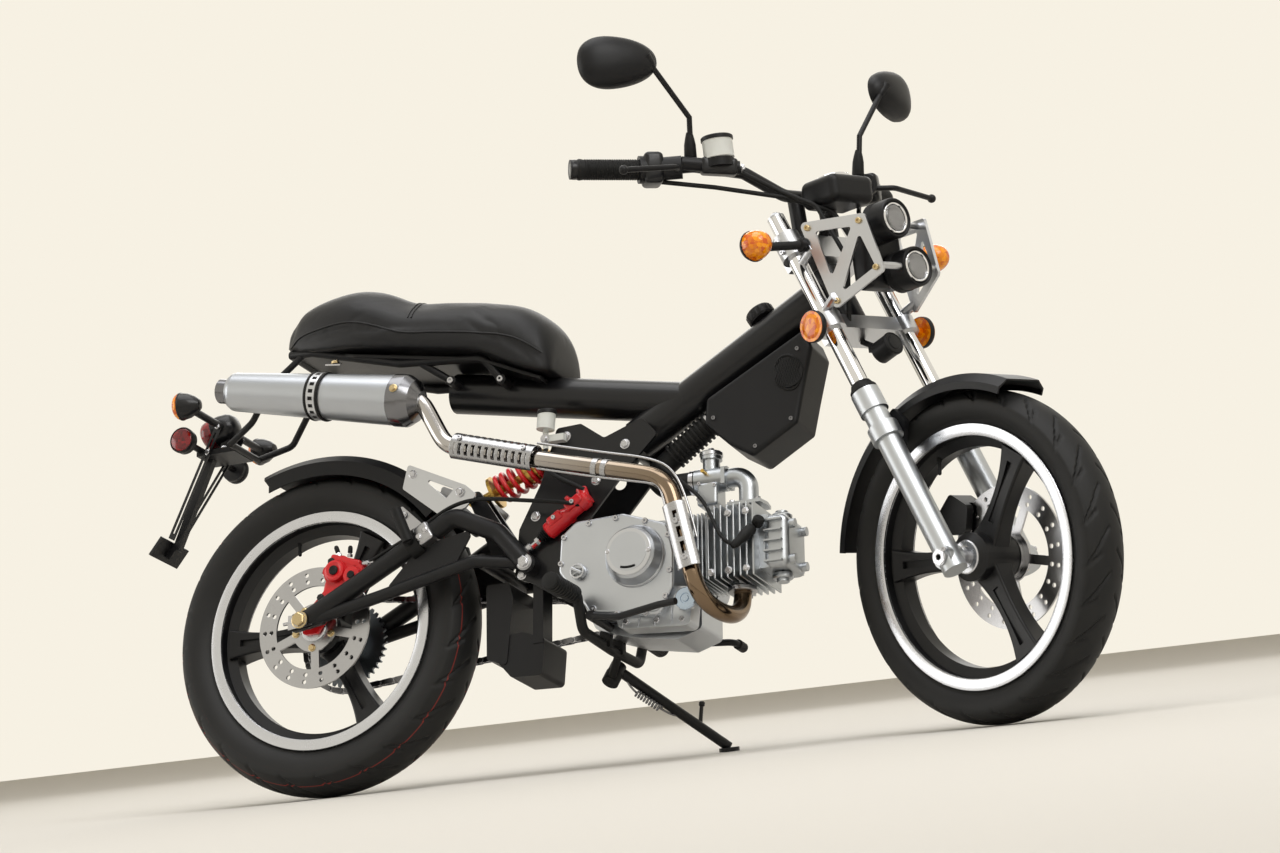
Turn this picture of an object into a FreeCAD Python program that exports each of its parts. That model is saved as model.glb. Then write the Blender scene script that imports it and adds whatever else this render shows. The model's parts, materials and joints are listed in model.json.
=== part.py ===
import FreeCAD, Part
import math
import os

# A small motorcycle with its fuel in the frame tubes: two wheels in line, an open horizontal
# engine, a raised exhaust and stacked headlamps. It is drawn upright and straight, with x forward
# from the rear axle, y to the left and z up from the floor, in millimetres. At the end the front
# is turned to its right-hand stop, the whole machine leans on its side stand, and its origin goes
# to the middle of the ground under it.

# Wheels and stance
WHEELBASE = 1230.0
REAR_TYRE_W = 110.0
FRONT_TYRE_W = 90.0
RIM_R = 203.0            # bead seat of a 16-inch rim
RIM_LIP_R = RIM_R + 15
REAR_TYRE_R = RIM_R + 89
FRONT_TYRE_R = RIM_R + 72
REAR_RIM_HALF = 44.0
FRONT_RIM_HALF = 37.0
RIM_LIP_T = 5.0
RIM_WALL = 4.5
RIM_WELL_R = RIM_R - 17
RAKE = 24.0
TRAIL = 92.0
LEAN = 16.0
STEER_STOP = 28.4

# Frame tubes
SEAT_RAIL_R = 8.0
TAIL_ARM = (-226.0, 712.0)
REFLECTOR_Y = 84.0
TUBE_R = 36.0
SEAT_TUBE_REAR = (250.0, 711.0)
SEAT_TUBE_SLOPE = -10.7
SPINE_LOW = (602.0, 571.0)
SPINE_HIGH = (WHEELBASE - 317, FRONT_TYRE_R + 483)
HEAD_TUBE_R = 29.0
HEAD_LOW = 497.0         # distances up the steering axis from the axle's level
HEAD_HIGH = 612.0
STEM_R = 13.0
BEARING_T = 14.0
PIVOT = (423.0, 350.0)
PIVOT_R = 9.0
PIVOT_END = 79.0         # half the width of the swingarm at its pivot
SWINGARM_Y = 92.0
SWINGARM_R = 17.0        # the thick upper tube
SWINGARM_LOW_R = 11.0
FRAME_PLATE_Y = 48.0
FRAME_PLATE_T = 6.0

# Fork
FORK_HALF = 88.0
FORK_TUBE_R = 15.5
SLIDER_R = 21.0
SLIDER_TOP = 322.0
FORK_TOP = 703.0
CLAMP_LOW = (462.0, 490.0)
CLAMP_HIGH = (618.0, 664.0)
AXLE_R = 7.5
AXLE_BORE_R = 5.0
AXLE_END = 118.0         # half the rear axle's length
FRONT_AXLE_END = 112.0
HUB_HALF = 46.0
GAP = 0.3                # between a turning face and the one it runs beside
AXLE_THREAD = 4.0

# Handlebar and mirrors
BAR_R = 11.0
BAR_BORE_R = 11.2
MIRROR_AT = (-374.0, 328.0, 928.0)   # from the front axle
MIRROR_TOE = 20.0

# Brakes
REAR_DISC_R = 110.0
REAR_DISC_Y = -58.0
FRONT_DISC_R = 120.0
FRONT_DISC_Y = 58.0
DISC_T = 4.0
DISC_ROOM = 5.0

# Final drive
SPROCKET_Y = 67.0
SPROCKET_R = 85.0
DRIVE_SPROCKET = (548.0, 280.0)
DRIVE_SPROCKET_R = 24.0
CHAIN_W = 12.0
CHAIN_H = 12.0
TOOTH_GAP = 0.5

# Shock absorber
SHOCK_LOW = (290.0, 500.0)
SHOCK_HIGH = (488.0, 578.0)
SHOCK_EYE_HALF = 14.3
SPRING_FOOT = 42.0

# Engine
CRANK = (646.0, 322.0)
ENGINE_HALF = 62.0
ENGINE_REAR_HALF = 46.0
CYLINDER_Z = 342.0
CYLINDER_X = (706.0, 752.0)
HEAD_X = (752.0, 892.0)
EXHAUST_PORT_X = 792.0
ENGINE_BOLTS = ((500.0, 300.0), (516.0, 384.0))

# Exhaust
EXHAUST_Y = -150.0
PIPE_R = 15.0
MUFFLER_R = 45.0
MUFFLER_REAR_R = 34.0

SIDES = (-1, 1)

rake = math.radians(RAKE)
STEER_DIR = FreeCAD.Vector(-math.sin(rake), 0, math.cos(rake))
STEER_OUT = FreeCAD.Vector(math.cos(rake), 0, math.sin(rake))
FORK_OFFSET = FRONT_TYRE_R * math.sin(rake) - TRAIL * math.cos(rake)
FRONT_AXLE = FreeCAD.Vector(WHEELBASE, 0, FRONT_TYRE_R)
REAR_AXLE = FreeCAD.Vector(0, 0, REAR_TYRE_R)
STEER_FOOT = FRONT_AXLE - STEER_OUT * FORK_OFFSET
Y = FreeCAD.Vector(0, 1, 0)


def V(x, y, z):
    return FreeCAD.Vector(x, y, z)


def fork_point(t, y=0.0, out=0.0):
    """A point t up the fork from the axle, y to the left and out ahead of the fork legs' line."""
    return FRONT_AXLE + STEER_DIR * t + STEER_OUT * out + Y * y


def front(x, y, z):
    """A point of the straight front end, measured from the front axle."""
    return FRONT_AXLE + V(x, y, z)


def stem_point(t, y=0.0, out=0.0):
    """The same from the steering axis instead of the fork legs' line."""
    return STEER_FOOT + STEER_DIR * t + STEER_OUT * out + Y * y


def rod(a, b, r):
    """A round bar from a to b."""
    return Part.makeCylinder(r, (b - a).Length, a, b - a)


def pipe(a, b, r, wall):
    """A round tube from a to b, open at both ends."""
    return rod(a, b, r).cut(rod(a, b, r - wall))


def cross_rod(x, z, y0, y1, r):
    """A round bar across the machine."""
    return rod(V(x, y0, z), V(x, y1, z), r)


def fuse(shapes):
    shapes = list(shapes)
    if len(shapes) == 1:
        return shapes[0]
    return shapes[0].fuse(shapes[1:]).removeSplitter()


def mirrored(shape):
    """The same shape on the other side of the machine."""
    return shape.mirror(V(0, 0, 0), Y)


def both(shape):
    return [shape, mirrored(shape)]


def rounded_path(points, radii):
    """Straight runs joined by tangent arcs of the radii given at the inner points."""
    edges = []
    start = points[0]
    for i in range(1, len(points) - 1):
        back = (points[i - 1] - points[i]).normalize()
        on = (points[i + 1] - points[i]).normalize()
        turn = math.pi - back.getAngle(on)
        cut = radii[i - 1] * math.tan(turn / 2)
        a = points[i] + back * cut
        b = points[i] + on * cut
        middle = (back + on).normalize()
        reach = radii[i - 1] / math.cos(turn / 2) - radii[i - 1]
        if (a - start).Length > 1e-6:
            edges.append(Part.LineSegment(start, a).toShape())
        edges.append(Part.Arc(a, points[i] + middle * reach, b).toShape())
        start = b
    edges.append(Part.LineSegment(start, points[-1]).toShape())
    return edges


def bent_rod(points, bend, r):
    """A round bar along straight runs, bent to one radius, or to one radius for each corner."""
    bends = list(bend) if isinstance(bend, (list, tuple)) else [bend] * (len(points) - 2)
    path = Part.Wire(rounded_path(points, bends))
    direction = points[1] - points[0]
    ring = Part.Wire(Part.makeCircle(r, points[0], direction))
    return path.makePipeShell([ring], True, False)


def outline(points, r=0.0):
    """A closed flat wire through the points, its corners rounded to r."""
    if r <= 0:
        return Part.makePolygon(list(points) + [points[0]])
    first = (points[0] + points[-1]) * 0.5
    edges = rounded_path([first] + list(points) + [first], [r] * len(points))
    return Part.Wire(edges)


def plate(xz, y0, y1, r=0.0, holes=()):
    """A flat plate of an outline in side view, between two places across the machine."""
    face = Part.Face(outline([V(x, y0, z) for x, z in xz], r))
    solid = face.extrude(V(0, y1 - y0, 0))
    for x, z, hole_r in holes:
        solid = solid.cut(cross_rod(x, z, y0 - 1, y1 + 1, hole_r))
    return solid


def turned(centre, profile, direction=Y):
    """A solid turned about an axis through the centre; the profile lists (radius, along)."""
    axis = FreeCAD.Vector(direction).normalize()
    side = V(1, 0, 0) if abs(axis.x) < 0.9 else V(0, 0, 1)
    side = (side - axis * side.dot(axis)).normalize()
    points = [centre + side * r + axis * a for r, a in profile]
    face = Part.Face(Part.makePolygon(points + [points[0]]))
    return face.revolve(centre, axis, 360)


def box(x, y, z):
    """A block between pairs of limits."""
    return Part.makeBox(x[1] - x[0], y[1] - y[0], z[1] - z[0], V(x[0], y[0], z[0]))


def soften(solid, r, pick=None):
    """Rounds the picked edges."""
    edges = [e for e in solid.Edges if pick is None or pick(e)]
    return solid.makeFillet(r, edges)


def seat_tube_point(x, y=0.0, up=0.0):
    """A point on the seat tube's centre line at x, or up above it."""
    z = SEAT_TUBE_REAR[1] + (x - SEAT_TUBE_REAR[0]) * math.tan(math.radians(SEAT_TUBE_SLOPE))
    return V(x, y, z + up)


def spine_direction():
    return V(SPINE_HIGH[0] - SPINE_LOW[0], 0, SPINE_HIGH[1] - SPINE_LOW[1]).normalize()


def spine_point(d, y=0.0, up=0.0):
    """A point d along the big tube from its low end, or up square to it."""
    along = spine_direction()
    return V(SPINE_LOW[0], y, SPINE_LOW[1]) + along * d + V(-along.z, 0, along.x) * up


# Wheels

def tyre(centre, tyre_r, width, rim_half):
    """A hollow tyre: round tread, bulged walls and beads that sit inside the rim's lips."""
    half = width / 2
    bead = rim_half - RIM_LIP_T - 0.2
    shoulder_r = tyre_r - width * 0.2
    wall = 8.0

    def at(r, y):
        return centre + V(r, y, 0)

    mid_r = (RIM_LIP_R + shoulder_r) / 2
    outer = [
        Part.LineSegment(at(RIM_R + 0.2, -bead), at(RIM_LIP_R + 1, -bead)).toShape(),
        Part.Arc(at(RIM_LIP_R + 1, -bead), at(mid_r + 4, -half + 1), at(shoulder_r, -half + 2)).toShape(),
        Part.Arc(at(shoulder_r, -half + 2), at(tyre_r, 0), at(shoulder_r, half - 2)).toShape(),
        Part.Arc(at(shoulder_r, half - 2), at(mid_r + 4, half - 1), at(RIM_LIP_R + 1, bead)).toShape(),
        Part.LineSegment(at(RIM_LIP_R + 1, bead), at(RIM_R + 0.2, bead)).toShape(),
    ]
    inner = Part.makePolygon([
        at(RIM_R + 0.2, bead), at(RIM_R + 0.2, bead - wall), at(mid_r, half - wall - 2),
        at(tyre_r - wall * 1.6, half * 0.45), at(tyre_r - wall * 1.6, -half * 0.45),
        at(mid_r, -half + wall + 2), at(RIM_R + 0.2, -bead + wall), at(RIM_R + 0.2, -bead)])
    wire = Part.Wire(outer + inner.Edges)
    return Part.Face(wire).revolve(centre, Y, 360)


def rim(centre, half):
    """A drop-centre rim with an outer lip each side."""
    lip = half - RIM_LIP_T
    profile = [
        (RIM_LIP_R, -half), (RIM_LIP_R, -lip), (RIM_R, -lip), (RIM_R, -half * 0.45),
        (RIM_WELL_R, -half * 0.3), (RIM_WELL_R, half * 0.3), (RIM_R, half * 0.45),
        (RIM_R, lip), (RIM_LIP_R, lip), (RIM_LIP_R, half), (RIM_R - RIM_WALL, half),
        (RIM_R - RIM_WALL, half * 0.5), (RIM_WELL_R - RIM_WALL, half * 0.34),
        (RIM_WELL_R - RIM_WALL, -half * 0.34), (RIM_R - RIM_WALL, -half * 0.5),
        (RIM_R - RIM_WALL, -half)]
    return turned(centre, profile)


def spoke(centre, angle, half):
    """One cast spoke: waisted, with a channel down each face."""
    sections = []
    for r, wide, thick in ((30.0, 52.0, half * 1.1), (RIM_R / 2, 34.0, half * 0.9), (RIM_R - 13, 56.0, half * 1.3)):
        points = [V(r, -thick / 2, -wide / 2), V(r, thick / 2, -wide / 2),
                  V(r, thick / 2, wide / 2), V(r, -thick / 2, wide / 2)]
        sections.append(outline(points, 4.0))
    solid = Part.makeLoft(sections, True, False)
    for side in SIDES:
        face = half * 0.45
        groove = box((62, RIM_R - 33), (-7, 7), (-6, 6))
        groove.translate(V(0, side * (face + 5), 0))
        solid = solid.cut(groove)
    solid.rotate(V(0, 0, 0), Y, -angle)
    solid.translate(centre)
    return solid


def cast_wheel(centre, half, hub_half, hub_r, bore_r, first_angle):
    """The rim, three spokes and the hub, bored for the axle."""
    parts = [rim(centre, half)]
    for i in range(3):
        parts.append(spoke(centre, first_angle + 120 * i, half))
    hub = turned(centre, [(0, -hub_half), (hub_r * 0.72, -hub_half), (hub_r, -hub_half + 8),
                          (hub_r, hub_half - 8), (hub_r * 0.72, hub_half), (0, hub_half)])
    wheel = fuse(parts + [hub])
    bore = rod(centre - Y * (hub_half + 5), centre + Y * (hub_half + 5), bore_r)
    return wheel.cut(bore)


def brake_disc(centre, y, disc_r, face_y, rings, arms):
    """A drilled disc on a carrier that reaches back to the hub's face."""
    at = centre + Y * y
    disc = turned(at, [(disc_r - 34, -DISC_T / 2), (disc_r, -DISC_T / 2),
                       (disc_r, DISC_T / 2), (disc_r - 34, DISC_T / 2)])
    for ring_r, count, hole_r in rings:
        for i in range(count):
            a = 2 * math.pi * i / count
            p = at + V(ring_r * math.cos(a), -DISC_T, ring_r * math.sin(a))
            disc = disc.cut(Part.makeCylinder(hole_r, DISC_T * 2, p, Y))
    carrier = [turned(at, [(24, -DISC_T / 2), (44, -DISC_T / 2), (44, DISC_T / 2), (24, DISC_T / 2)])]
    for i in range(arms):
        arm = box((40, disc_r - 30), (-DISC_T / 2, DISC_T / 2), (-8, 8))
        arm.rotate(V(0, 0, 0), Y, 360.0 * i / arms + 15)
        arm.translate(at)
        carrier.append(arm)
    low, high = sorted((0.0, face_y - y))
    carrier.append(turned(at, [(24, low), (36, low), (36, high), (24, high)]))
    return fuse([disc] + carrier)


def disc_slot(centre, y, disc_r):
    """The room that a brake disc needs inside its caliper."""
    half = DISC_T / 2 + DISC_ROOM
    r = disc_r + DISC_ROOM
    return turned(centre + Y * y, [(30, -half), (r, -half), (r, half), (30, half)])


def toothed_ring(centre, y, tip_r, root_r, teeth, thick, inner_r):
    """A sprocket ring with simple pointed teeth."""
    points = []
    for i in range(teeth):
        for part, r in ((0.0, root_r), (0.32, root_r), (0.56, tip_r), (0.76, tip_r)):
            a = 2 * math.pi * (i + part) / teeth
            points.append(centre + V(r * math.cos(a), y - thick / 2, r * math.sin(a)))
    solid = Part.Face(Part.makePolygon(points + [points[0]])).extrude(Y * thick)
    return solid.cut(Part.makeCylinder(inner_r, thick + 2, centre + V(0, y - thick / 2 - 1, 0), Y))


# Frame and what it holds

def main_frame():
    """The two fuel tubes, the steering head and the plates that hold engine and swingarm."""
    head_centre = stem_point((HEAD_LOW + HEAD_HIGH) / 2)
    spine_end = head_centre - STEER_OUT * (HEAD_TUBE_R - 14)
    low = spine_point(0)
    spine = rod(low, spine_point((spine_end - low).Length), TUBE_R)
    seat_tube = rod(seat_tube_point(SEAT_TUBE_REAR[0]), seat_tube_point(700), TUBE_R)
    head = rod(stem_point(HEAD_LOW), stem_point(HEAD_HIGH), HEAD_TUBE_R)
    plates = []
    xz = [(632, 592), (560, 566), (516, 598), (470, 596), (440, 500), (398, 420), (390, 334), (420, 322),
          (470, 290), (500, 280), (522, 300), (504, 340), (520, 366), (538, 388), (530, 420),
          (600, 500), (660, 560)]
    for side in SIDES:
        y0 = side * FRAME_PLATE_Y
        plates.append(plate(xz, y0, y0 + side * FRAME_PLATE_T, 8,
                            [(588, 540, 14), (545, 515, 12), (PIVOT[0], PIVOT[1], PIVOT_R + 0.05)]))
    web = [cross_rod(x, z, -FRAME_PLATE_Y, FRAME_PLATE_Y, r) for x, z, r in
           ((455, 470, 12), (SHOCK_HIGH[0] + 24, SHOCK_HIGH[1], 9), (600, 560, 20))]
    solid = fuse([spine, seat_tube, head] + plates + web)
    bearings = rod(stem_point(HEAD_LOW - 2), stem_point(HEAD_HIGH + 2), STEM_R + GAP)
    hollow = rod(stem_point(HEAD_LOW + BEARING_T), stem_point(HEAD_HIGH - BEARING_T), STEM_R + 8)
    return solid.cut(bearings).cut(hollow)


def seat_subframe():
    """Thin tubes from the seat tube back under the seat, with the tail hoop."""
    parts = under_seat(0)
    for side in SIDES:
        parts.append(rod(V(210, side * 74, 752), V(268, side * 56, 712), SEAT_RAIL_R - 1))
        for x, low in ((366, 700), (268, 712)):
            parts.append(cross_rod(x, low, side * (TUBE_R - 6), side * 66, 9))
    parts.append(cross_rod(-188, 664, -52, 52, SEAT_RAIL_R - 2))
    return fuse(parts)


def under_seat(grow):
    """The tubes and the pan that the saddle sits on, or with some growth the room for them in it."""
    parts = [cross_rod(-58, 812, -62, 62, SEAT_RAIL_R + grow), seat_pan(grow)]
    for side in SIDES:
        top = [V(-60 - grow, side * 62, 812), V(-10, side * 72, 806), V(171, side * 75, 756),
               V(335, side * 72, 742), V(366, side * 60, 700)]
        tail = [V(-30 + grow, side * 66, 809), V(-96, side * 74, 752), V(-130, side * 74, 690),
                V(-190, side * 50, 664)]
        parts.append(bent_rod(top, 24, SEAT_RAIL_R + grow))
        parts.append(bent_rod(tail, 24, SEAT_RAIL_R - 2 + grow))
    return parts


def seat():
    """The saddle: a hump at the back, a dip, and a nose that falls to the tube."""
    sections = []
    # x, half width, underside, top at the middle, how far the shoulder lies under the top
    for x, half, low, top, drop in ((-78, 52, 826, 868, 14), (-30, 92, 806, 912, 34),
                                    (80, 118, 790, 926, 44), (190, 118, 772, 882, 38),
                                    (340, 112, 744, 858, 36), (420, 98, 706, 838, 38),
                                    (466, 74, 694, 790, 30)):
        shoulder = top - drop
        bottom = Part.LineSegment(V(x, -half + 6, low), V(x, half - 6, low)).toShape()
        left = Part.Arc(V(x, half - 6, low), V(x, half, (low + shoulder) / 2),
                        V(x, half * 0.86, shoulder)).toShape()
        crown = Part.Arc(V(x, half * 0.86, shoulder), V(x, 0, top), V(x, -half * 0.86, shoulder)).toShape()
        right = Part.Arc(V(x, -half * 0.86, shoulder), V(x, -half, (low + shoulder) / 2),
                         V(x, -half + 6, low)).toShape()
        sections.append(Part.Wire([bottom, left, crown, right]))
    return Part.makeLoft(sections, True, False).cut(fuse(under_seat(GAP)))


def seat_pan(grow):
    """The thin plastic tray that the saddle is built on."""
    sections = []
    for x, half, top in ((-60 - grow, 60, 820), (80, 84, 788), (330, 80, 744), (440 + grow, 60, 699)):
        z0, z1 = top - 9 - grow, top - 1 + grow
        wide = half + grow
        points = [V(x, -wide, z0), V(x, wide, z0), V(x, wide, z1), V(x, -wide, z1)]
        sections.append(outline(points, 2))
    return Part.makeLoft(sections, True, True)


def tail_bracket():
    """The carrier of tail lamp, signals and number plate."""
    strip = plate([(-262, 672), (-248, 664), (-318, 490), (-331, 495)], -7, 7, 4)
    base = box((-270, -190), (-34, 34), (657, 667))
    foot = fuse([box((-3, 3), (-46, 46), (-20, 20)), box((3, 14), (-7, 7), (-10, 20))])
    foot.rotate(V(0, 0, 0), Y, PLATE_SEAT_SLOPE)
    foot.translate(PLATE_SEAT_AT)
    arm = cross_rod(TAIL_ARM[0], TAIL_ARM[1], -118, 118, 7)
    post = box((-234, -216), (-10, 10), (660, 716))
    low_arm = cross_rod(-262, 668, -REFLECTOR_Y, REFLECTOR_Y, 6)
    cups = [cross_rod(-262, 668, side * REFLECTOR_Y, side * (REFLECTOR_Y + 10), 23) for side in SIDES]
    return fuse([strip, base, foot, arm, post, low_arm] + cups)


def tail_lamp():
    at = V(-204, 0, 722)
    profile = [(0, 0), (16, 2), (26, 14), (29, 34), (29, 62), (24, 70), (0, 74)]
    lamp = turned(at, profile, V(-1, 0, -0.28))
    room = fuse([cross_rod(TAIL_ARM[0], TAIL_ARM[1], -60, 60, 7.3), box((-234.3, -215.7), (-10.3, 10.3), (650, 716.3))])
    return lamp.cut(room)


def signal(at, axis, lens_r, length):
    """A round turn signal: bowl behind, domed lens in front."""
    direction = FreeCAD.Vector(axis).normalize()
    profile = [(0, 0), (9, 0), (lens_r * 0.8, -length * 0.18), (lens_r, -length * 0.42),
               (lens_r, -length * 0.55), (lens_r * 0.72, -length * 0.9), (0, -length)]
    return turned(at, [(r, -a) for r, a in profile], direction)


def rear_signals():
    return fuse(both(signal(V(TAIL_ARM[0] + 22, 136, TAIL_ARM[1] + 4), (-1, 0.1, 0), 25, 52)))


def muffler():
    """A round can along the right side, with a smaller tail cap and a dark front cap."""
    rear = V(-123, EXHAUST_Y, 723)
    front = V(210, EXHAUST_Y, 656)
    along = (front - rear).normalize()
    length = (front - rear).Length
    r = MUFFLER_R
    end = MUFFLER_REAR_R
    profile = [(0, -30), (21, -30), (22, -28), (22, -8), (end - 4, -6), (end, 0), (end + 1, 5), (r, length - 4),
               (r + 1, length - 4), (r + 1, length + 18), (r - 9, length + 34),
               (PIPE_R + 3, length + 46), (0, length + 46)]
    can = turned(rear, profile, along)
    return can.cut(rod(rear - along * 60, rear - along * 2, 17))


def exhaust_points():
    y = EXHAUST_Y
    return [V(256, y, 647.6), V(300, y, 560), V(500, y, 501), V(718, y + 2, 444), V(762, y + 6, 268),
            V(778, -128, 232), V(EXHAUST_PORT_X, -66, 224), V(EXHAUST_PORT_X, -20, 246), V(EXHAUST_PORT_X, 0, 283)]


def exhaust_pipe():
    return bent_rod(exhaust_points(), [34, 60, 60, 46, 34, 30, 26, 22], PIPE_R)


def heat_shields():
    """Half-round guards over the pipe, clamped by bands."""
    parts = []
    for a, b, r in ((V(340, EXHAUST_Y, 548.2), V(470, EXHAUST_Y, 509.8), PIPE_R + 8),
                    (V(736, EXHAUST_Y + 4, 370), V(757, EXHAUST_Y + 5.6, 288), PIPE_R + 9)):
        shell = pipe(a, b, r, 2)
        keep = box((-400, 400), (-400, 0), (-400, 400))
        keep.translate(V(a.x, EXHAUST_Y + 2, a.z))
        parts.append(shell.common(keep))
        along = (b - a).normalize()
        for d in (6, (b - a).Length - 14):
            parts.append(pipe(a + along * d, a + along * (d + 8), r, r - PIPE_R - 0.3))
    return Part.makeCompound([fuse(parts[0:3]), fuse(parts[3:6])])


def engine_case():
    """The crankcase with its clutch cover on the right and its generator cover on the left."""
    xz = [(505, 300), (508, 372), (545, 402), (640, 398), (706, 396), (706, 282), (735, 262),
          (735, 205), (690, 190), (600, 205), (540, 226)]
    case = plate(xz, -ENGINE_REAR_HALF, ENGINE_REAR_HALF, 10)
    wide = plate([(618, 400), (706, 396), (706, 282), (690, 230), (618, 230)], -ENGINE_HALF, ENGINE_HALF, 10)
    lugs = [cross_rod(x, z, -FRAME_PLATE_Y + 0.1, FRAME_PLATE_Y - 0.1, 13) for x, z in ENGINE_BOLTS]
    cover = plate([(502, 312), (506, 376), (534, 399), (622, 402), (704, 374), (716, 322), (714, 262),
                   (688, 216), (562, 232)], -118, -FRAME_PLATE_Y - FRAME_PLATE_T - 6, 16)
    cover = soften(cover, 6, lambda e: e.BoundBox.YMax < -117)
    neck = plate([(540, 330), (556, 380), (690, 372), (676, 250), (570, 252)],
                 -FRAME_PLATE_Y - FRAME_PLATE_T - 7, -40, 12)
    boss = turned(V(CRANK[0], 0, CRANK[1]), [(0, -110), (54, -110), (52, -122), (45, -142), (40, -147), (0, -147)])
    ring = cross_rod(CRANK[0], CRANK[1], -151, -140, 34)
    sump = plate([(600, 235), (606, 205), (735, 196), (742, 262), (690, 270)], -100, -ENGINE_HALF + 1, 10)
    left = cross_rod(CRANK[0] + 22, CRANK[1] - 6, ENGINE_HALF - 1, 104, 60)
    output = cross_rod(DRIVE_SPROCKET[0], DRIVE_SPROCKET[1], ENGINE_REAR_HALF - 1,
                       SPROCKET_Y + 4, DRIVE_SPROCKET_R - CHAIN_H / 2)
    plug = cross_rod(541, 305, -128, -110, 12)
    drain = cross_rod(728, 238, -112, -90, 17)
    return fuse([case, wide, neck, cover, boss, ring, sump, left, output, plug, drain] + lugs)


def cylinder_head():
    """The finned cylinder and head, lying almost flat."""
    z = CYLINDER_Z
    parts = [rod(V(CYLINDER_X[0] + 0.2, 0, z), V(HEAD_X[1] - 20, 0, z), 44)]
    for i in range(6):
        x = CYLINDER_X[0] + 5 + i * 7.6
        parts.append(box((x, x + 2.4), (-58, 54), (z - 56, z + 60)))
    parts.append(box((HEAD_X[0], HEAD_X[1] - 34), (-44, 42), (z - 46, z + 48)))
    for i in range(8):
        x = HEAD_X[0] + 4 + i * 11.6
        parts.append(box((x, x + 3), (-68, 56), (z - 62, z + 66)))
    parts.append(soften(box((HEAD_X[1] - 44, HEAD_X[1]), (-48, 44), (z - 46, z + 46)), 12))
    for i in range(5):
        parts.append(box((HEAD_X[1] - 40, HEAD_X[1] - 8), (-56, 50), (z - 39 + i * 18, z - 36 + i * 18)))
    for y, up in ((-30, 30), (24, 30), (-30, -32), (24, -32)):
        parts.append(rod(V(HEAD_X[1] - 4, y, z + up), V(HEAD_X[1] + 9, y, z + up), 8))
    parts.append(rod(V(806, 0, z + 40), V(806, 0, z + 78), 20))
    parts.append(rod(V(EXHAUST_PORT_X, 0, z - 40), V(EXHAUST_PORT_X, 0, z - 59), 21))
    head = fuse(parts)
    return head.cut(rod(V(EXHAUST_PORT_X, 0, z - 80), V(EXHAUST_PORT_X, 0, z - 48), PIPE_R + 0.3))


def carburettor():
    """The carburettor and the elbow that feeds the head from above."""
    z = 478
    elbow = bent_rod([V(806, 0, CYLINDER_Z + 78.3), V(806, 0, z), V(768, 0, z)], 24, 17)
    body = rod(V(712, 0, z), V(768, 0, z), 22)
    flange = box((764, 771), (-24, 24), (z - 15, z + 15))
    bowl = soften(box((718, 756), (-22, 22), (z - 50, z - 8)), 6)
    slide = rod(V(738, 0, z), V(738, 0, z + 44), 15)
    cap = rod(V(738, 0, z + 36), V(738, 0, z + 48), 19)
    return fuse([elbow, body, flange, bowl, slide, cap])


def airbox():
    """The plastic air cleaner case under the big tube, its inlet mesh on the side."""
    xz = [(748, 612), (744, 566), (790, 522), (832, 496), (914, 545), (926, 600), (944, 676), (930, 712)]
    case = plate(xz, -46, 46, 10)
    case = soften(case, 8, lambda e: abs(e.BoundBox.YMax - e.BoundBox.YMin) < 1)
    mesh = rod(V(902, -49, 634), V(902, -40, 634), 26)
    return fuse([case, mesh])


def intake_hose():
    """A ribbed hose from the carburettor back and up to the air cleaner."""
    a = V(711.5, 0, 478)
    path = [a, V(652, 0, 478), V(630, 0, 502), V(680, 0, 539), V(743.5, 0, 585)]
    hose = bent_rod(path, [16, 16, 60], 20)
    along = (path[4] - path[3]).normalize()
    ribs = []
    for i in range(10):
        p = path[3] - along * 14 + along * (i * 9.0)
        ribs.append(rod(p, p + along * 4, 24))
    return fuse([hose] + ribs)


def battery_box():
    """The black trays behind the engine."""
    back = plate([(332, 330), (334, 196), (372, 182), (384, 300), (376, 330)], -48, 48, 6)
    low = plate([(340, 206), (380, 160), (438, 158), (443, 224), (400, 238), (346, 234)], -46, 46, 8)
    lug = box((422, 441), (-FRAME_PLATE_Y + 0.3, -10), (215, 332))
    return fuse([back, low, lug])


def swingarm():
    """The rear arm: two tubes a side, joined by an arch, by the pivot and by cross tubes."""
    parts = []
    y = SWINGARM_Y
    for side in SIDES:
        lower = [V(0, side * y, 292), V(150, side * y, 322), V(330, side * y, 362), V(412, side * 70, 354)]
        parts.append(bent_rod(lower, 40, SWINGARM_LOW_R))
        upper = [V(10, side * y, 300), V(225, side * y, 412), V(290, side * (y - 2), 448),
                 V(372, side * 84, 410), V(418, side * 76, 354)]
        parts.append(bent_rod(upper, 26, SWINGARM_R))
        parts.append(plate([(-26, 276), (-26, 308), (40, 322), (40, 286)], side * (y - 5), side * (y + 5), 6))
        parts.append(plate([(150, 322), (290, 352), (330, 420), (225, 402)], side * (y - 2), side * (y + 2), 8))
    inner = FRAME_PLATE_Y + FRAME_PLATE_T + 0.3
    pivots = [cross_rod(PIVOT[0], PIVOT[1], side * inner, side * PIVOT_END, 17) for side in SIDES]
    bridge = cross_rod(342, 362, -88, 88, 13)
    arch = cross_rod(350, 420, -82, 82, 11)
    lugs = [plate([(304, 514), (276, 514), (304, 452), (344, 356), (362, 424)],
                  side * SHOCK_EYE_HALF, side * (SHOCK_EYE_HALF + 6), 8) for side in SIDES]
    return fuse(parts + pivots + [bridge, arch] + lugs)


def axle_bolts():
    """The swingarm's pivot bolt and the rear axle, each with its heads or nuts."""
    parts = []
    for x, z, r, half, seat_y in ((PIVOT[0], PIVOT[1], PIVOT_R, 90, PIVOT_END),
                                  (0, REAR_TYRE_R, AXLE_R, AXLE_END, SWINGARM_Y + SWINGARM_R - 2)):
        heads = [cross_rod(x, z, side * seat_y, side * (seat_y + 8), r + 5.5) for side in SIDES]
        parts.append(fuse([cross_rod(x, z, -half, half, r)] + heads))
    return Part.makeCompound(parts)


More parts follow.
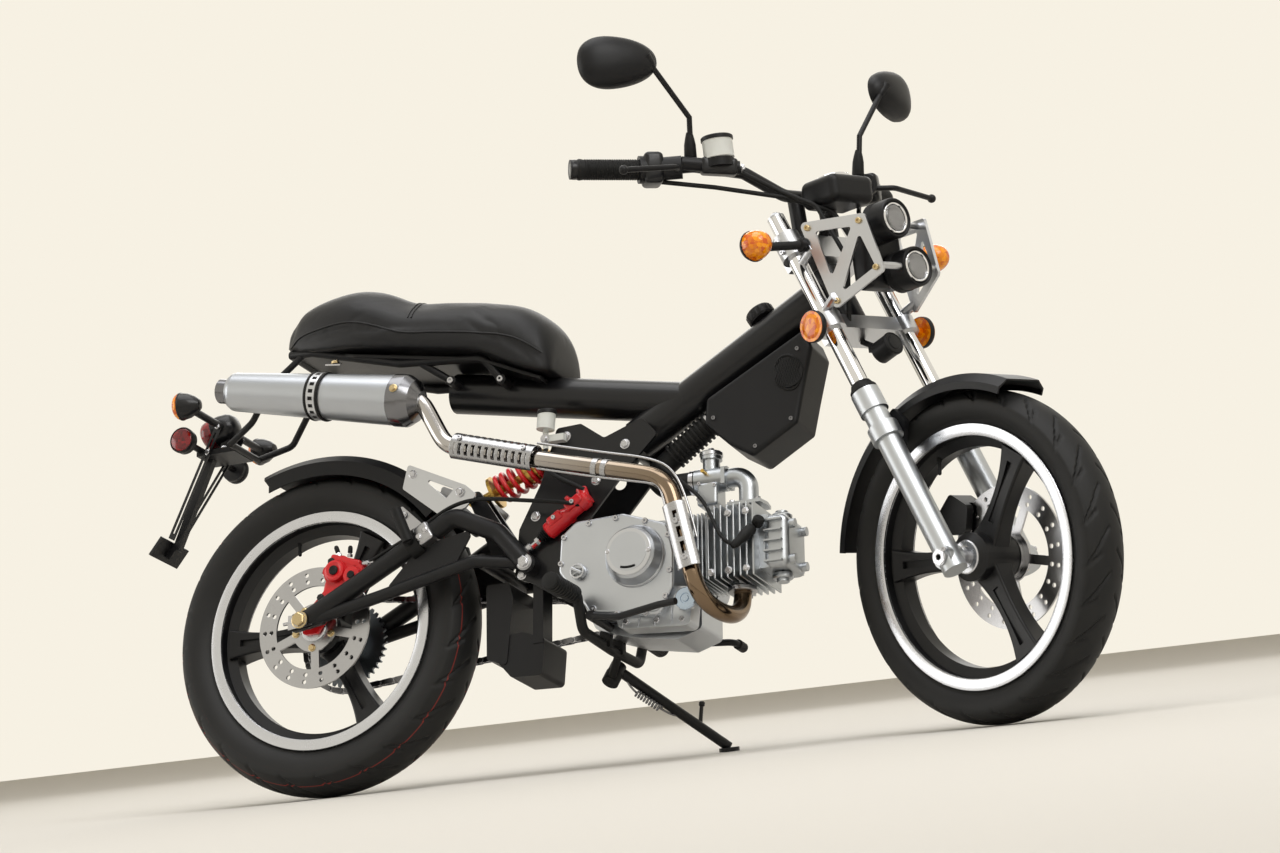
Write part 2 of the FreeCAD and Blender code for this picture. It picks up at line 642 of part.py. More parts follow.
def arc_shell(centre, r, thick, half, drop, start, end):
    """A mudguard: a shallow channel swept round a wheel between two angles."""

    def at(rr, y):
        return centre + V(rr, y, 0)

    r0 = r - thick
    points = [at(r - drop, -half), at(r - 14, -half), at(r, -half + 16), at(r, half - 16),
              at(r - 14, half), at(r - drop, half), at(r - drop, half - thick), at(r0 - 14, half - thick),
              at(r0, half - 17), at(r0, -half + 17), at(r0 - 14, -half + thick), at(r - drop, -half + thick)]
    face = Part.Face(Part.makePolygon(points + [points[0]]))
    solid = face.revolve(centre, V(0, -1, 0), end - start)
    solid.rotate(centre, V(0, -1, 0), start)
    return solid


def rear_fender():
    guard = arc_shell(REAR_AXLE, REAR_TYRE_R + 28, 3, 64, 40, 38, 112)
    behind = [(-126, 310), (-98, 274), (-98, 240), (-170, 240), (-170, 310)]
    return guard.cut(plate([(x, REAR_TYRE_R + z) for x, z in behind], -80, 80))


def fender_bracket():
    """The bright three-cornered plates that hold the rear mudguard."""
    parts = []
    for side in SIDES:
        web = plate([(186, 566), (176, 522), (254, 460), (300, 470), (322, 492), (300, 512)],
                    side * 64.3, side * 68.3, 5)
        hole = plate([(214, 538), (262, 492), (278, 508)], side * 60, side * 76, 3)
        parts.append(web.cut(hole))
        parts[-1] = fuse([parts[-1], cross_rod(SHOCK_LOW[0], SHOCK_LOW[1], side * 26.3, side * 70, 9)])
    return Part.makeCompound(parts)


def shock_axis(d, y=0.0):
    low = V(SHOCK_LOW[0], y, SHOCK_LOW[1])
    high = V(SHOCK_HIGH[0], y, SHOCK_HIGH[1])
    return low + (high - low).normalize() * d


def shock_body():
    length = (V(SHOCK_HIGH[0], 0, SHOCK_HIGH[1]) - V(SHOCK_LOW[0], 0, SHOCK_LOW[1])).Length
    parts = [rod(shock_axis(10), shock_axis(length - 10), 8),
             rod(shock_axis(SPRING_FOOT - 6), shock_axis(SPRING_FOOT), 30),
             rod(shock_axis(length - 62), shock_axis(length - 56), 28),
             rod(shock_axis(length - 110), shock_axis(length - 14), 19),
             cross_rod(SHOCK_LOW[0], SHOCK_LOW[1], -14, 14, 12),
             cross_rod(SHOCK_HIGH[0], SHOCK_HIGH[1], -14, 14, 12),
             cross_rod(SHOCK_HIGH[0], SHOCK_HIGH[1], -FRAME_PLATE_Y + 0.1, FRAME_PLATE_Y - 0.1, 6),
             cross_rod(SHOCK_LOW[0], SHOCK_LOW[1], -26, 26, 5)]
    return fuse(parts)


def shock_spring():
    """The coil, as a closed pitch of round wire."""
    length = (V(SHOCK_HIGH[0], 0, SHOCK_HIGH[1]) - V(SHOCK_LOW[0], 0, SHOCK_LOW[1])).Length
    start, end = SPRING_FOOT + 4.8, length - 66.8
    turns = 6
    rings = []
    for i in range(turns):
        d = start + (end - start) * i / (turns - 1)
        ring = Part.makeTorus(24, 4.5, shock_axis(d), shock_axis(d + 1) - shock_axis(d))
        rings.append(ring)
    link = rod(shock_axis(start) + V(0, 24, 0), shock_axis(end) + V(0, 24, 0), 2)
    return fuse(rings + [link])


def rear_caliper():
    body = plate([(20, 392), (62, 414), (104, 388), (92, 352), (40, 344)], -74.5, -38, 10)
    slot = disc_slot(REAR_AXLE, REAR_DISC_Y, REAR_DISC_R)
    hanger = plate([(-14, 276), (-18, 306), (34, 360), (64, 352), (30, 296), (14, 276)], -74.5, -67, 6)
    body = fuse([body, hanger]).cut(slot)
    hole = cross_rod(0, REAR_TYRE_R, -90, -60, AXLE_R)
    return body.cut(hole)


def rear_master_cylinder():
    a = V(458, -66, 404)
    b = V(538, -66, 458)
    parts = [rod(a, b, 12), rod(b - V(6, 0, 12), b + V(-16, 0, 16), 10), rod(a - V(30, 0, 24), a, 3.5)]
    parts.append(cross_rod(500, 426, -60, -FRAME_PLATE_Y - FRAME_PLATE_T - 0.3, 8))
    return fuse(parts)


def brake_reservoir():
    pot = rod(V(456, -71, 590), V(459, -71, 624), 16)
    neck = rod(V(454, -66, 556), V(456, -70, 592), 5)
    outer = -FRAME_PLATE_Y - FRAME_PLATE_T
    clip = box((450, 490), (outer - 16, outer - 0.3), (568, 580))
    return fuse([pot, neck, clip])


def footrest(at, side, length, r):
    """A rubber-covered footrest with its clevis end."""
    a = V(at[0], side * at[1], at[2])
    b = a + V(-8, side * length, 4)
    return fuse([rod(a, b, r), rod(a - V(0, side * 14, 0), a, r * 0.6)])


def rider_footrests():
    parts = []
    for side in SIDES:
        parts.append(footrest((548, 150, 258), side, 84, 13))
    bar = bent_rod([V(548, -140, 258), V(548, -118, 204), V(548, 0, 200), V(548, 118, 204),
                    V(548, 140, 258)], 20, 9)
    lugs = [box((542, 560), sorted((side * 20, side * 34)), (196, 240)) for side in SIDES]
    return fuse(parts + [bar] + lugs)


def passenger_footrests():
    parts = []
    for side in SIDES:
        clamp = pipe(V(205, side * 92, 402), V(227, side * 92, 413), SWINGARM_R + 8, 8 - GAP)
        peg = rod(V(218, side * 124, 404), V(197, side * 134, 463), 10)
        arm = rod(V(216, side * 112, 407), V(217, side * 128, 408), 9)
        parts.append(fuse([clamp, peg, arm]))
    return parts


def footrests():
    """The rider's bar with the stand's bracket on it, and the passenger's folding rests."""
    return Part.makeCompound([fuse([rider_footrests(), stand_bracket()])] + passenger_footrests())


def foot_levers():
    """The brake pedal on the right and the gear lever on the left."""
    case = ENGINE_REAR_HALF + 0.3
    pedal = bent_rod([V(566, -124, 226), V(620, -132, 216), V(700, -150, 222), V(735, -158, 222)], 20, 6)
    pedal_shaft = cross_rod(566, 226, -130, -case, 8)
    lever = bent_rod([V(590, 112, 240), V(650, 122, 230), V(720, 136, 228), V(720, 176, 228)], 16, 6)
    lever_shaft = cross_rod(590, 240, case, 118, 7)
    return Part.makeCompound([fuse([pedal, pedal_shaft]), fuse([lever, lever_shaft])])


def chain():
    """The chain as one closed band round both sprockets."""
    centres = [(0.0, REAR_TYRE_R, SPROCKET_R), (DRIVE_SPROCKET[0], DRIVE_SPROCKET[1], DRIVE_SPROCKET_R)]
    (x0, z0, r0), (x1, z1, r1) = centres
    dist = math.hypot(x1 - x0, z1 - z0)
    tilt = math.atan2(z1 - z0, x1 - x0)
    lean = math.acos((r0 - r1) / dist)

    def loop(grow):
        a, b = r0 + grow, r1 + grow

        def on(x, z, r, angle):
            return V(x + r * math.cos(angle), SPROCKET_Y - CHAIN_W / 2, z + r * math.sin(angle))

        up, down = tilt + lean, tilt - lean
        return Part.Wire([
            Part.LineSegment(on(x0, z0, a, up), on(x1, z1, b, up)).toShape(),
            Part.Arc(on(x1, z1, b, up), on(x1, z1, b, tilt), on(x1, z1, b, down)).toShape(),
            Part.LineSegment(on(x1, z1, b, down), on(x0, z0, a, down)).toShape(),
            Part.Arc(on(x0, z0, a, down), on(x0, z0, a, tilt + math.pi), on(x0, z0, a, up)).toShape()])
    outer = Part.Face(loop(CHAIN_H / 2)).extrude(Y * CHAIN_W)
    return outer.cut(Part.Face(loop(-CHAIN_H / 2)).extrude(Y * CHAIN_W))


def fuel_cap():
    at = spine_point(300, 0, TUBE_R - 4)
    up = (spine_point(300, 0, TUBE_R + 10) - at).normalize()
    return rod(at + up * 5, at + up * 24, 24)


def rear_tyre():
    return tyre(REAR_AXLE, REAR_TYRE_R, REAR_TYRE_W, REAR_RIM_HALF)


def rear_wheel():
    return cast_wheel(REAR_AXLE, REAR_RIM_HALF, HUB_HALF, 42, AXLE_R + 0.05, 180)


def rear_disc():
    return brake_disc(REAR_AXLE, REAR_DISC_Y, REAR_DISC_R, -46.2, ((86, 18, 4), (99, 18, 4)), 5)


def rear_sprocket():
    tip = SPROCKET_R - CHAIN_H / 2 - TOOTH_GAP
    ring = toothed_ring(REAR_AXLE, SPROCKET_Y, tip, tip - 6.5, 40, 6, 26)
    drum = turned(REAR_AXLE, [(26, 46.2), (40, 46.2), (40, SPROCKET_Y), (26, SPROCKET_Y)])
    return fuse([ring, drum])


# Front end

def triple_clamps():
    """Lower and upper fork bridges with the steering stem between them."""
    parts = []
    for low, high in (CLAMP_LOW, CLAMP_HIGH):
        length = high - low
        middle = Part.makeBox(54, 150, length, V(-27, -75, 0))
        middle.rotate(V(0, 0, 0), Y, -RAKE)
        middle.translate(stem_point(low, 0, FORK_OFFSET / 2))
        parts.append(middle)
        for side in SIDES:
            parts.append(rod(fork_point(low, side * FORK_HALF), fork_point(high, side * FORK_HALF), 24))
    parts.append(rod(stem_point(CLAMP_LOW[0]), stem_point(CLAMP_HIGH[1] + 8), STEM_R))
    solid = fuse(parts)
    for side in SIDES:
        solid = solid.cut(rod(fork_point(CLAMP_LOW[0] - 5, side * FORK_HALF),
                              fork_point(CLAMP_HIGH[1] + 5, side * FORK_HALF), FORK_TUBE_R))
    return solid


def fork_tubes():
    parts = [rod(fork_point(SLIDER_TOP - 60, side * FORK_HALF), fork_point(FORK_TOP, side * FORK_HALF),
                 FORK_TUBE_R) for side in SIDES]
    return Part.makeCompound(parts)


def fork_sliders():
    """Lower fork legs with the axle lugs, closed over the tubes."""
    parts = []
    for side in SIDES:
        y = side * FORK_HALF
        leg = rod(fork_point(-26, y), fork_point(SLIDER_TOP, y), SLIDER_R)
        collar = rod(fork_point(SLIDER_TOP - 30, y), fork_point(SLIDER_TOP + 10, y), SLIDER_R + 4)
        lug = cross_rod(WHEELBASE, FRONT_TYRE_R, y - 16, y + 16, 20)
        ear = rod(fork_point(236, y), fork_point(262, y), SLIDER_R + 6)
        solid = fuse([leg, collar, lug, ear])
        solid = solid.cut(rod(fork_point(SLIDER_TOP - 60, y), fork_point(SLIDER_TOP + 20, y), FORK_TUBE_R))
        hole = cross_rod(WHEELBASE, FRONT_TYRE_R, y - SLIDER_R - 3, y + SLIDER_R + 3, AXLE_R)
        parts.append(solid.cut(hole))
    return Part.makeCompound(parts)


def front_axle():
    end = FRONT_AXLE_END
    shaft = cross_rod(WHEELBASE, FRONT_TYRE_R, -end, end, AXLE_R)
    nuts = [cross_rod(WHEELBASE, FRONT_TYRE_R, side * (end - 7.7), side * end, 14) for side in SIDES]
    spacers = [cross_rod(WHEELBASE, FRONT_TYRE_R, side * (HUB_HALF + GAP), side * 71.7, 11) for side in SIDES]
    hollow = cross_rod(WHEELBASE, FRONT_TYRE_R, -end - 3, end + 3, AXLE_BORE_R)
    return fuse([shaft] + nuts + spacers).cut(hollow)


def handlebar():
    parts = []
    for side in SIDES:
        points = [front(-286, 0, 687), front(-286, side * 62, 687), front(-310, side * 128, 730),
                  front(-346, side * 208, 746), front(-398, side * 262, 750), front(-466, side * 376, 761)]
        parts.append(bent_rod(points, 30, BAR_R))
    risers = [rod(stem_point(CLAMP_HIGH[1], side * 36, FORK_OFFSET / 2), front(-286, side * 36, 687), 14)
              for side in SIDES]
    return fuse(parts + risers)


def controls():
    """Grips, switch housings and levers, and the front brake's master cylinder with its pot."""
    parts = []
    for side in SIDES:
        inner = front(-398, side * 262, 750)
        outer = front(-466, side * 376, 761)
        bend = front(-346, side * 208, 746)
        along = (outer - inner).normalize()
        on = (inner - bend).normalize()
        grip = pipe(inner + along * 10, outer + along * 6, 17, 17 - BAR_BORE_R)
        switch = pipe(inner - along * 2, inner + along * 20, 24, 24 - BAR_BORE_R)
        clamp = pipe(bend + on * 20, inner - on * 2, 20, 20 - BAR_BORE_R)
        hinge = bend + on * 40 + V(18, 0, -8)
        lever = bent_rod([hinge, front(-330, side * 264, 736), front(-344, side * 372, 727)], 16, 5)
        ball = Part.makeSphere(8, front(-344, side * 372, 727))
        pieces = [grip, switch, clamp, lever, ball]
        if side < 0:
            pieces.append(rod(bend + on * 30 + V(14, 0, 4), front(-298, -148, 734), 12))
            pieces.append(rod(front(-316, -176, 738), front(-314, -176, 790), 25))
        parts.append(fuse(pieces))
    return Part.makeCompound(parts)


def egg(centre, wide, high, outward):
    """An upright closed curve, blunter at its outer end."""
    points = []
    for i in range(12):
        a = 2 * math.pi * i / 12
        lift = high * math.sin(a) * (1 + 0.2 * math.cos(a))
        points.append(centre + outward * (wide * math.cos(a)) + V(0, 0, lift))
    curve = Part.BSplineCurve()
    curve.interpolate(points, PeriodicFlag=True)
    return Part.Wire([curve.toShape()])


def mirrors():
    """Egg-shaped mirrors on bent stems, their glass turned in to the rider."""
    parts = []
    toe = math.radians(MIRROR_TOE)
    for side in SIDES:
        outward = V(-math.sin(toe), side * math.cos(toe), 0)
        back = V(-math.cos(toe), -side * math.sin(toe), 0)
        centre = front(MIRROR_AT[0], side * MIRROR_AT[1], MIRROR_AT[2])
        rings = [egg(centre - back * d, wide, high, outward)
                 for d, wide, high in ((-8, 66, 40), (0, 72, 45), (12, 62, 38), (22, 34, 20))]
        head = Part.makeLoft(rings, True, False)
        stem = bent_rod([front(-355, side * 203, 765), front(-343, side * 206, 832),
                         centre - outward * 50 - back * 14], 18, 5)
        base = rod(front(-358, side * 202, 752), front(-351, side * 204, 794), 9)
        parts.append(fuse([stem, head, base]))
    return Part.makeCompound(parts)


def headlamp_bracket():
    """Bright side plates between the fork and the lamps, each with two windows."""
    parts = []
    for side in SIDES:
        corners = [(-2, 615), (123, 604), (146, 500), (44, 454)]
        web = plate(corners, -2.5, 2.5, 8)
        for hole in ([(26, 594), (96, 587), (46, 510)], [(108, 573), (130, 510), (60, 480)]):
            web = web.cut(plate(hole, -5, 5, 4))
        web.rotate(V(0, 0, 0), V(0, 0, 1), -side * 17)
        web.translate(front(-210, side * 108, 0))
        parts.append(web)
        for t, out in ((500, 46), (600, 54)):
            parts.append(rod(fork_point(t, side * (FORK_HALF + 4), 10), fork_point(t, side * (FORK_HALF + 12), out), 8))
    cross = [rod(front(-118, -80, 596), front(-118, 80, 596), 6), rod(front(-82, -69, 512), front(-82, 69, 512), 6)]
    return fuse(parts + cross)


def headlamps():
    parts = []
    for y, z in ((-18, 594), (18, 512)):
        profile = [(0, 0), (26, 0), (33, 10), (35, 24), (35, 58), (30, 64), (0, 64)]
        parts.append(turned(front(-134, y, z), profile, V(1, 0, 0)))
    body = soften(box((-170, -122), (-46, 46), (486, 620)), 14)
    body.translate(FRONT_AXLE)
    return fuse(parts + [body])


def instrument():
    cowl = soften(box((-262, -176), (-50, 50), (652, 702)), 14)
    cowl.translate(FRONT_AXLE)
    foot = rod(stem_point(CLAMP_HIGH[1] + 0.1, 0, FORK_OFFSET / 2 + 12), front(-234, 0, 660), 9)
    return fuse([cowl, foot])


def front_signals():
    parts = []
    for side in SIDES:
        stalk = rod(front(-204, side * 100, 576), front(-228, side * 196, 572), 8)
        lens = signal(front(-240, side * 211, 572), (1, side * 0.1, 0), 26, 54)
        parts.append(fuse([stalk, lens]))
    return Part.makeCompound(parts)


def front_fender():
    guard = arc_shell(FRONT_AXLE, FRONT_TYRE_R + 25, 3, 54, 26, 63, 168)
    stays = []
    for side in SIDES:
        end = fork_point(249, side * (FORK_HALF - SLIDER_R - 6.5))
        stays.append(plate([(end.x - 16, end.z - 14), (end.x + 10, end.z - 22), (end.x + 22, end.z + 18),
                            (end.x, end.z + 44), (end.x - 24, end.z + 30)], side * 51, side * 61.5, 5))
    return fuse([guard] + stays)


def front_disc():
    return brake_disc(FRONT_AXLE, FRONT_DISC_Y, FRONT_DISC_R, 46.2, ((94, 20, 4), (108, 20, 4)), 5)


def front_caliper():
    body = plate([(-102, 55), (-126, 97), (-94, 125), (-58, 97), (-70, 55)], 36, 84, 8)
    body.translate(FRONT_AXLE)
    slot = disc_slot(FRONT_AXLE, FRONT_DISC_Y, FRONT_DISC_R)
    return body.cut(slot)


def front_tyre():
    return tyre(FRONT_AXLE, FRONT_TYRE_R, FRONT_TYRE_W, FRONT_RIM_HALF)


def front_wheel():
    return cast_wheel(FRONT_AXLE, FRONT_RIM_HALF, HUB_HALF, 40, AXLE_R + 0.05, 174)


def horn():
    tongue = box((-190, -168), (-8, 8), (388, 402))
    tongue.translate(FRONT_AXLE)
    return fuse([rod(front(-172, 0, 384), front(-142, 0, 392), 20), tongue,
                 rod(front(-178, 0, 395), stem_point(CLAMP_LOW[0] - 0.3, 0, 4), 5)])


def side_reflectors():
    parts = []
    for side in SIDES:
        a = fork_point(470, side * (FORK_HALF + 24.3))
        parts.append(fuse([rod(a, a + Y * (side * 14), 9), rod(a + Y * (side * 12), a + Y * (side * 24), 26)]))
    return Part.makeCompound(parts)


def cables():
    """Brake hose, throttle cable and clutch cable, from the controls down behind the lamps."""
    runs = [[front(-300, -146, 728), front(-270, -90, 690), front(-214, -60, 650), front(-168, -50, 545),
             front(-186, -50, 435)],
            [front(-392, -250, 728), front(-330, -180, 706), front(-262, -84, 676), front(-206, -30, 640),
             front(-160, -28, 560)],
            [front(-370, 236, 730), front(-310, 160, 702), front(-250, 84, 676), front(-204, 30, 640),
             front(-160, 26, 560)]]
    return Part.makeCompound([bent_rod(p, 30, 4) for p in runs])


STAND_PIVOT = V(520, 84, 190)
STAND_FOOT_Y = 250.0
STAND_FOOT_X = 661.0
STAND_R = 9.0
STAND_PAD_R = 18.0
STAND_FOLDED = V(-0.96, 0.24, 0.12)
STAND_FOLD = 100.0
PLATE_SEAT_AT = V(-342, 0, 492)
PLATE_SEAT_SLOPE = 38.0


def stand_axis():
    """The hinge line: square to the leg both when it stands and when it is folded back."""
    leg = stand_foot() - STAND_PIVOT
    return leg.cross(STAND_FOLDED).normalize()


def plate_seat_normal():
    slope = math.radians(PLATE_SEAT_SLOPE)
    return V(-math.cos(slope), 0, math.sin(slope))


def plate_seat_point():
    return PLATE_SEAT_AT + plate_seat_normal() * 3


def stand_foot():
    """The foot's place: on the leaned machine's floor."""
    place, _ = parked()
    over = place.multVec(V(STAND_FOOT_X, STAND_FOOT_Y, 0)).z
    return V(STAND_FOOT_X, STAND_FOOT_Y, -over / place.Rotation.multVec(V(0, 0, 1)).z)


def floor_normal():
    """The floor's upward direction, seen from the upright machine."""
    place, _ = parked()
    return place.Rotation.inverted().multVec(V(0, 0, 1))


def side_stand():
    foot = stand_foot()
    up = floor_normal()
    leg = rod(STAND_PIVOT, foot + up * 8, STAND_R)
    pad = rod(foot, foot + up * 7, STAND_PAD_R)
    axis = stand_axis()
    eye = rod(STAND_PIVOT - axis * 9.5, STAND_PIVOT + axis * 9.5, 14)
    return fuse([leg, pad, eye])


def stand_bracket():
    axis = stand_axis()
    face = rod(STAND_PIVOT - axis * 31, STAND_PIVOT - axis * 9.8, 15)
    arm = rod(V(548, 30, 200), STAND_PIVOT - axis * 27, 7)
    return fuse([face, arm])


BODY_NODES = {
    "main_frame": main_frame, "seat_subframe": seat_subframe, "seat": seat,
    "tail_bracket": tail_bracket, "tail_lamp": tail_lamp, "rear_signals": rear_signals,
    "muffler": muffler, "exhaust_pipe": exhaust_pipe, "heat_shields": heat_shields,
    "engine_case": engine_case, "cylinder_head": cylinder_head, "carburettor": carburettor,
    "airbox": airbox, "intake_hose": intake_hose, "battery_box": battery_box,
    "swingarm": swingarm, "axle_bolts": axle_bolts, "rear_fender": rear_fender,
    "fender_bracket": fender_bracket, "shock_body": shock_body, "shock_spring": shock_spring,
    "rear_caliper": rear_caliper, "rear_master_cylinder": rear_master_cylinder,
    "brake_reservoir": brake_reservoir, "footrests": footrests, "foot_levers": foot_levers,
    "chain": chain, "fuel_cap": fuel_cap,
}
REAR_WHEEL_NODES = {
    "rear_tyre": rear_tyre, "rear_wheel": rear_wheel, "rear_disc": rear_disc,
    "rear_sprocket": rear_sprocket,
}
STAND_NODES = {"side_stand": side_stand}
FRONT_NODES = {
    "triple_clamps": triple_clamps, "fork_tubes": fork_tubes, "fork_sliders": fork_sliders,
    "front_axle": front_axle, "handlebar": handlebar, "controls": controls, "mirrors": mirrors,
    "headlamp_bracket": headlamp_bracket, "headlamps": headlamps, "instrument": instrument,
    "front_signals": front_signals, "front_fender": front_fender,
    "front_caliper": front_caliper, "horn": horn, "side_reflectors": side_reflectors,
    "cables": cables,
}
FRONT_WHEEL_NODES = {"front_tyre": front_tyre, "front_wheel": front_wheel, "front_disc": front_disc}


# Parking

def turn_about(point, axis, angle):
    place = FreeCAD.Placement(V(0, 0, 0), FreeCAD.Rotation(axis, angle), point)
    return place


def lowest_of_tyre(place, steer, centre, tyre_r, width):
    """The lowest point of a round tyre whose axle is tilted."""
    crown = width * 0.49
    c = place.multVec(steer.multVec(centre))
    a = place.Rotation.multVec(steer.Rotation.multVec(Y))
    return c.z - (tyre_r - crown) * math.sqrt(1 - a.z * a.z) - crown


def parked():
    """The placement that leans the machine with both tyres on the floor."""
    steer = turn_about(STEER_FOOT, STEER_DIR, -STEER_STOP)
    straight = FreeCAD.Placement()
    pitch = 0.0
    for _ in range(12):
        lean = FreeCAD.Placement(V(0, 0, 0), FreeCAD.Rotation(V(1, 0, 0), -LEAN))
        nose = FreeCAD.Placement(V(0, 0, 0), FreeCAD.Rotation(Y, math.degrees(pitch)))
        place = nose.multiply(lean)
        rear = lowest_of_tyre(place, straight, REAR_AXLE, REAR_TYRE_R, REAR_TYRE_W)
        front = lowest_of_tyre(place, steer, FRONT_AXLE, FRONT_TYRE_R, FRONT_TYRE_W)
        pitch += (front - rear) / WHEELBASE
    place.Base = V(0, 0, -rear)
    return place, steer


# Pieces that are let into what carries them: the first is cut back to the second's face.
SEATED = (
    ("seat_subframe", "main_frame"), ("seat", "main_frame"),
    ("tail_bracket", "seat_subframe"), ("rear_signals", "tail_bracket"), ("tail_lamp", "tail_bracket"),
    ("muffler", "exhaust_pipe"), ("heat_shields", "exhaust_pipe"), ("cylinder_head", "exhaust_pipe"),
    ("cylinder_head", "engine_case"), ("carburettor", "cylinder_head"), ("intake_hose", "carburettor"),
    ("intake_hose", "airbox"), ("airbox", "main_frame"), ("swingarm", "axle_bolts"),
    ("swingarm", "shock_body"),
    ("main_frame", "axle_bolts"), ("footrests", "swingarm"), ("footrests", "engine_case"),
    ("battery_box", "main_frame"), ("rear_caliper", "axle_bolts"), ("fender_bracket", "rear_fender"),
    ("fuel_cap", "main_frame"), ("fork_tubes", "triple_clamps"), ("front_axle", "fork_sliders"),
    ("handlebar", "triple_clamps"), ("controls", "handlebar"), ("mirrors", "handlebar"), ("mirrors", "controls"),
    ("headlamp_bracket", "headlamps"), ("headlamp_bracket", "fork_tubes"),
    ("instrument", "triple_clamps"), ("instrument", "handlebar"), ("instrument", "headlamps"), ("front_caliper", "fork_sliders"),
    ("front_fender", "fork_sliders"), ("front_signals", "headlamp_bracket"),
    ("horn", "triple_clamps"), ("side_reflectors", "triple_clamps"), ("cables", "triple_clamps"),
    ("cables", "handlebar"), ("cables", "headlamp_bracket"), ("cables", "controls"), ("cables", "headlamps"), ("cables", "instrument"), ("foot_levers", "engine_case"),
)


def upright():
    """Every node of the upright machine, each seated on what carries it."""
    nodes = {}
    for group in (BODY_NODES, REAR_WHEEL_NODES, STAND_NODES, FRONT_NODES, FRONT_WHEEL_NODES):
        for name, make in group.items():
            nodes[name] = make()
    for piece, carrier in SEATED:
        nodes[piece] = nodes[piece].cut(nodes[carrier])
    return nodes


def build():
    """Every node in its parked place, in one common frame."""
    place, steer = parked()
    nodes = upright()
    for name, shape in nodes.items():
        if name in FRONT_NODES or name in FRONT_WHEEL_NODES:
            shape = shape.transformed(steer.toMatrix())
        nodes[name] = shape.transformed(place.toMatrix())
    bounds = FreeCAD.BoundBox()
    for shape in nodes.values():
        bounds.add(shape.optimalBoundingBox(False, False))
    shift = V(-bounds.Center.x, -bounds.Center.y, -bounds.ZMin)
    for name in nodes:
        nodes[name] = nodes[name].translated(shift)
    return nodes, place, steer, shift


def main():
    os.makedirs("parts", exist_ok=True)
    nodes, _, _, _ = build()
    for name, shape in nodes.items():
        shape.exportStep("parts/" + name + ".step")
        print(name, len(shape.Solids), round(shape.Volume / 1000), shape.isValid())


if __name__ == "__main__":
    main()
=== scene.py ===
# %% [markdown]
# The object is a light motorcycle with two fat fuel tubes for a frame, an open flat engine and a
# raised exhaust. Every CAD node comes in as a fixed frame in metres, and the looks are built on it.
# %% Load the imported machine
import json
import math
import bmesh
import bpy
from mathutils import Matrix, Vector


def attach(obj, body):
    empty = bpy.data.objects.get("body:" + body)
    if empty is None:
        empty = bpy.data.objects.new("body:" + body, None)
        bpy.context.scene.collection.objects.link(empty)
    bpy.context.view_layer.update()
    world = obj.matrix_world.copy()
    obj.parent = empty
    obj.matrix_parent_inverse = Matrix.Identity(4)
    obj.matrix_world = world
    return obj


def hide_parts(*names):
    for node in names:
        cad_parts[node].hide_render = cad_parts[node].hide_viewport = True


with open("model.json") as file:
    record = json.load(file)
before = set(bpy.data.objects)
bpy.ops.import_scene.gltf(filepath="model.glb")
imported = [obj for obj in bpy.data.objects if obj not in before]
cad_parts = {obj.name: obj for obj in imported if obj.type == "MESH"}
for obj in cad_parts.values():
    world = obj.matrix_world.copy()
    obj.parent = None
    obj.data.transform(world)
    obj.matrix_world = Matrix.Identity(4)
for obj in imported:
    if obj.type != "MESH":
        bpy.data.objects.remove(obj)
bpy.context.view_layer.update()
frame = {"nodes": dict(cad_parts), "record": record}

nodes = frame["nodes"]
joints = {j["name"]: j for j in frame["record"]["behaviour"]["joints"]}

# %% [markdown]
# The machine leans on its stand with its front turned aside, which makes every real place awkward to
# write. So pieces are modelled on the upright, straight machine, with x forward from the rear axle,
# y to its left and z up, and one matrix then leans them. A second one also turns the front end.
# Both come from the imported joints, so they follow the CAD.
# %% Places on the upright machine
RAKE = math.radians(24.0)
REAR_AXLE = Vector((0.0, 0.0, 0.292))
FRONT_AXLE = Vector((1.230, 0.0, 0.275))
STEER_TURN = math.radians(-28.4)
TRAIL = 0.092
STEER_DIR = Vector((-math.sin(RAKE), 0.0, math.cos(RAKE)))
STEER_OUT = Vector((math.cos(RAKE), 0.0, math.sin(RAKE)))
FORK_OFFSET = FRONT_AXLE.z * math.sin(RAKE) - TRAIL * math.cos(RAKE)
STEER_FOOT = FRONT_AXLE - STEER_OUT * FORK_OFFSET

across = Vector(joints["rear_wheel_spin"]["axis"]).normalized()
steer = Vector(joints["steering"]["axis"]).normalized()
level = steer.cross(across)
ahead = (steer * -math.sin(RAKE) - level * math.cos(RAKE)).normalized()
upward = ahead.cross(across).normalized()
BODY = Matrix((ahead, across, upward)).transposed().to_4x4()
BODY.translation = Vector(joints["rear_wheel_spin"]["pos_m"]) - BODY.to_3x3() @ REAR_AXLE
TURN = (Matrix.Translation(STEER_FOOT) @ Matrix.Rotation(STEER_TURN, 4, STEER_DIR)
        @ Matrix.Translation(-STEER_FOOT))
FRONT = BODY @ TURN
PLACE = {"frame": BODY, "rear_wheel": BODY, "side_stand": BODY, "front_end": FRONT, "front_wheel": FRONT}
front_hub = FRONT @ FRONT_AXLE
print("front axle is off by", round((front_hub - Vector(joints["front_wheel_spin"]["pos_m"])).length * 1000, 3),
      "mm")


def V(x, y, z):
    """A place on the upright machine, given in millimetres."""
    return Vector((x, y, z)) / 1000


def fork(t, y=0.0, out=0.0):
    """A place t up the fork from the front axle, in millimetres."""
    return FRONT_AXLE + STEER_DIR * (t / 1000) + STEER_OUT * (out / 1000) + Vector((0, y / 1000, 0))


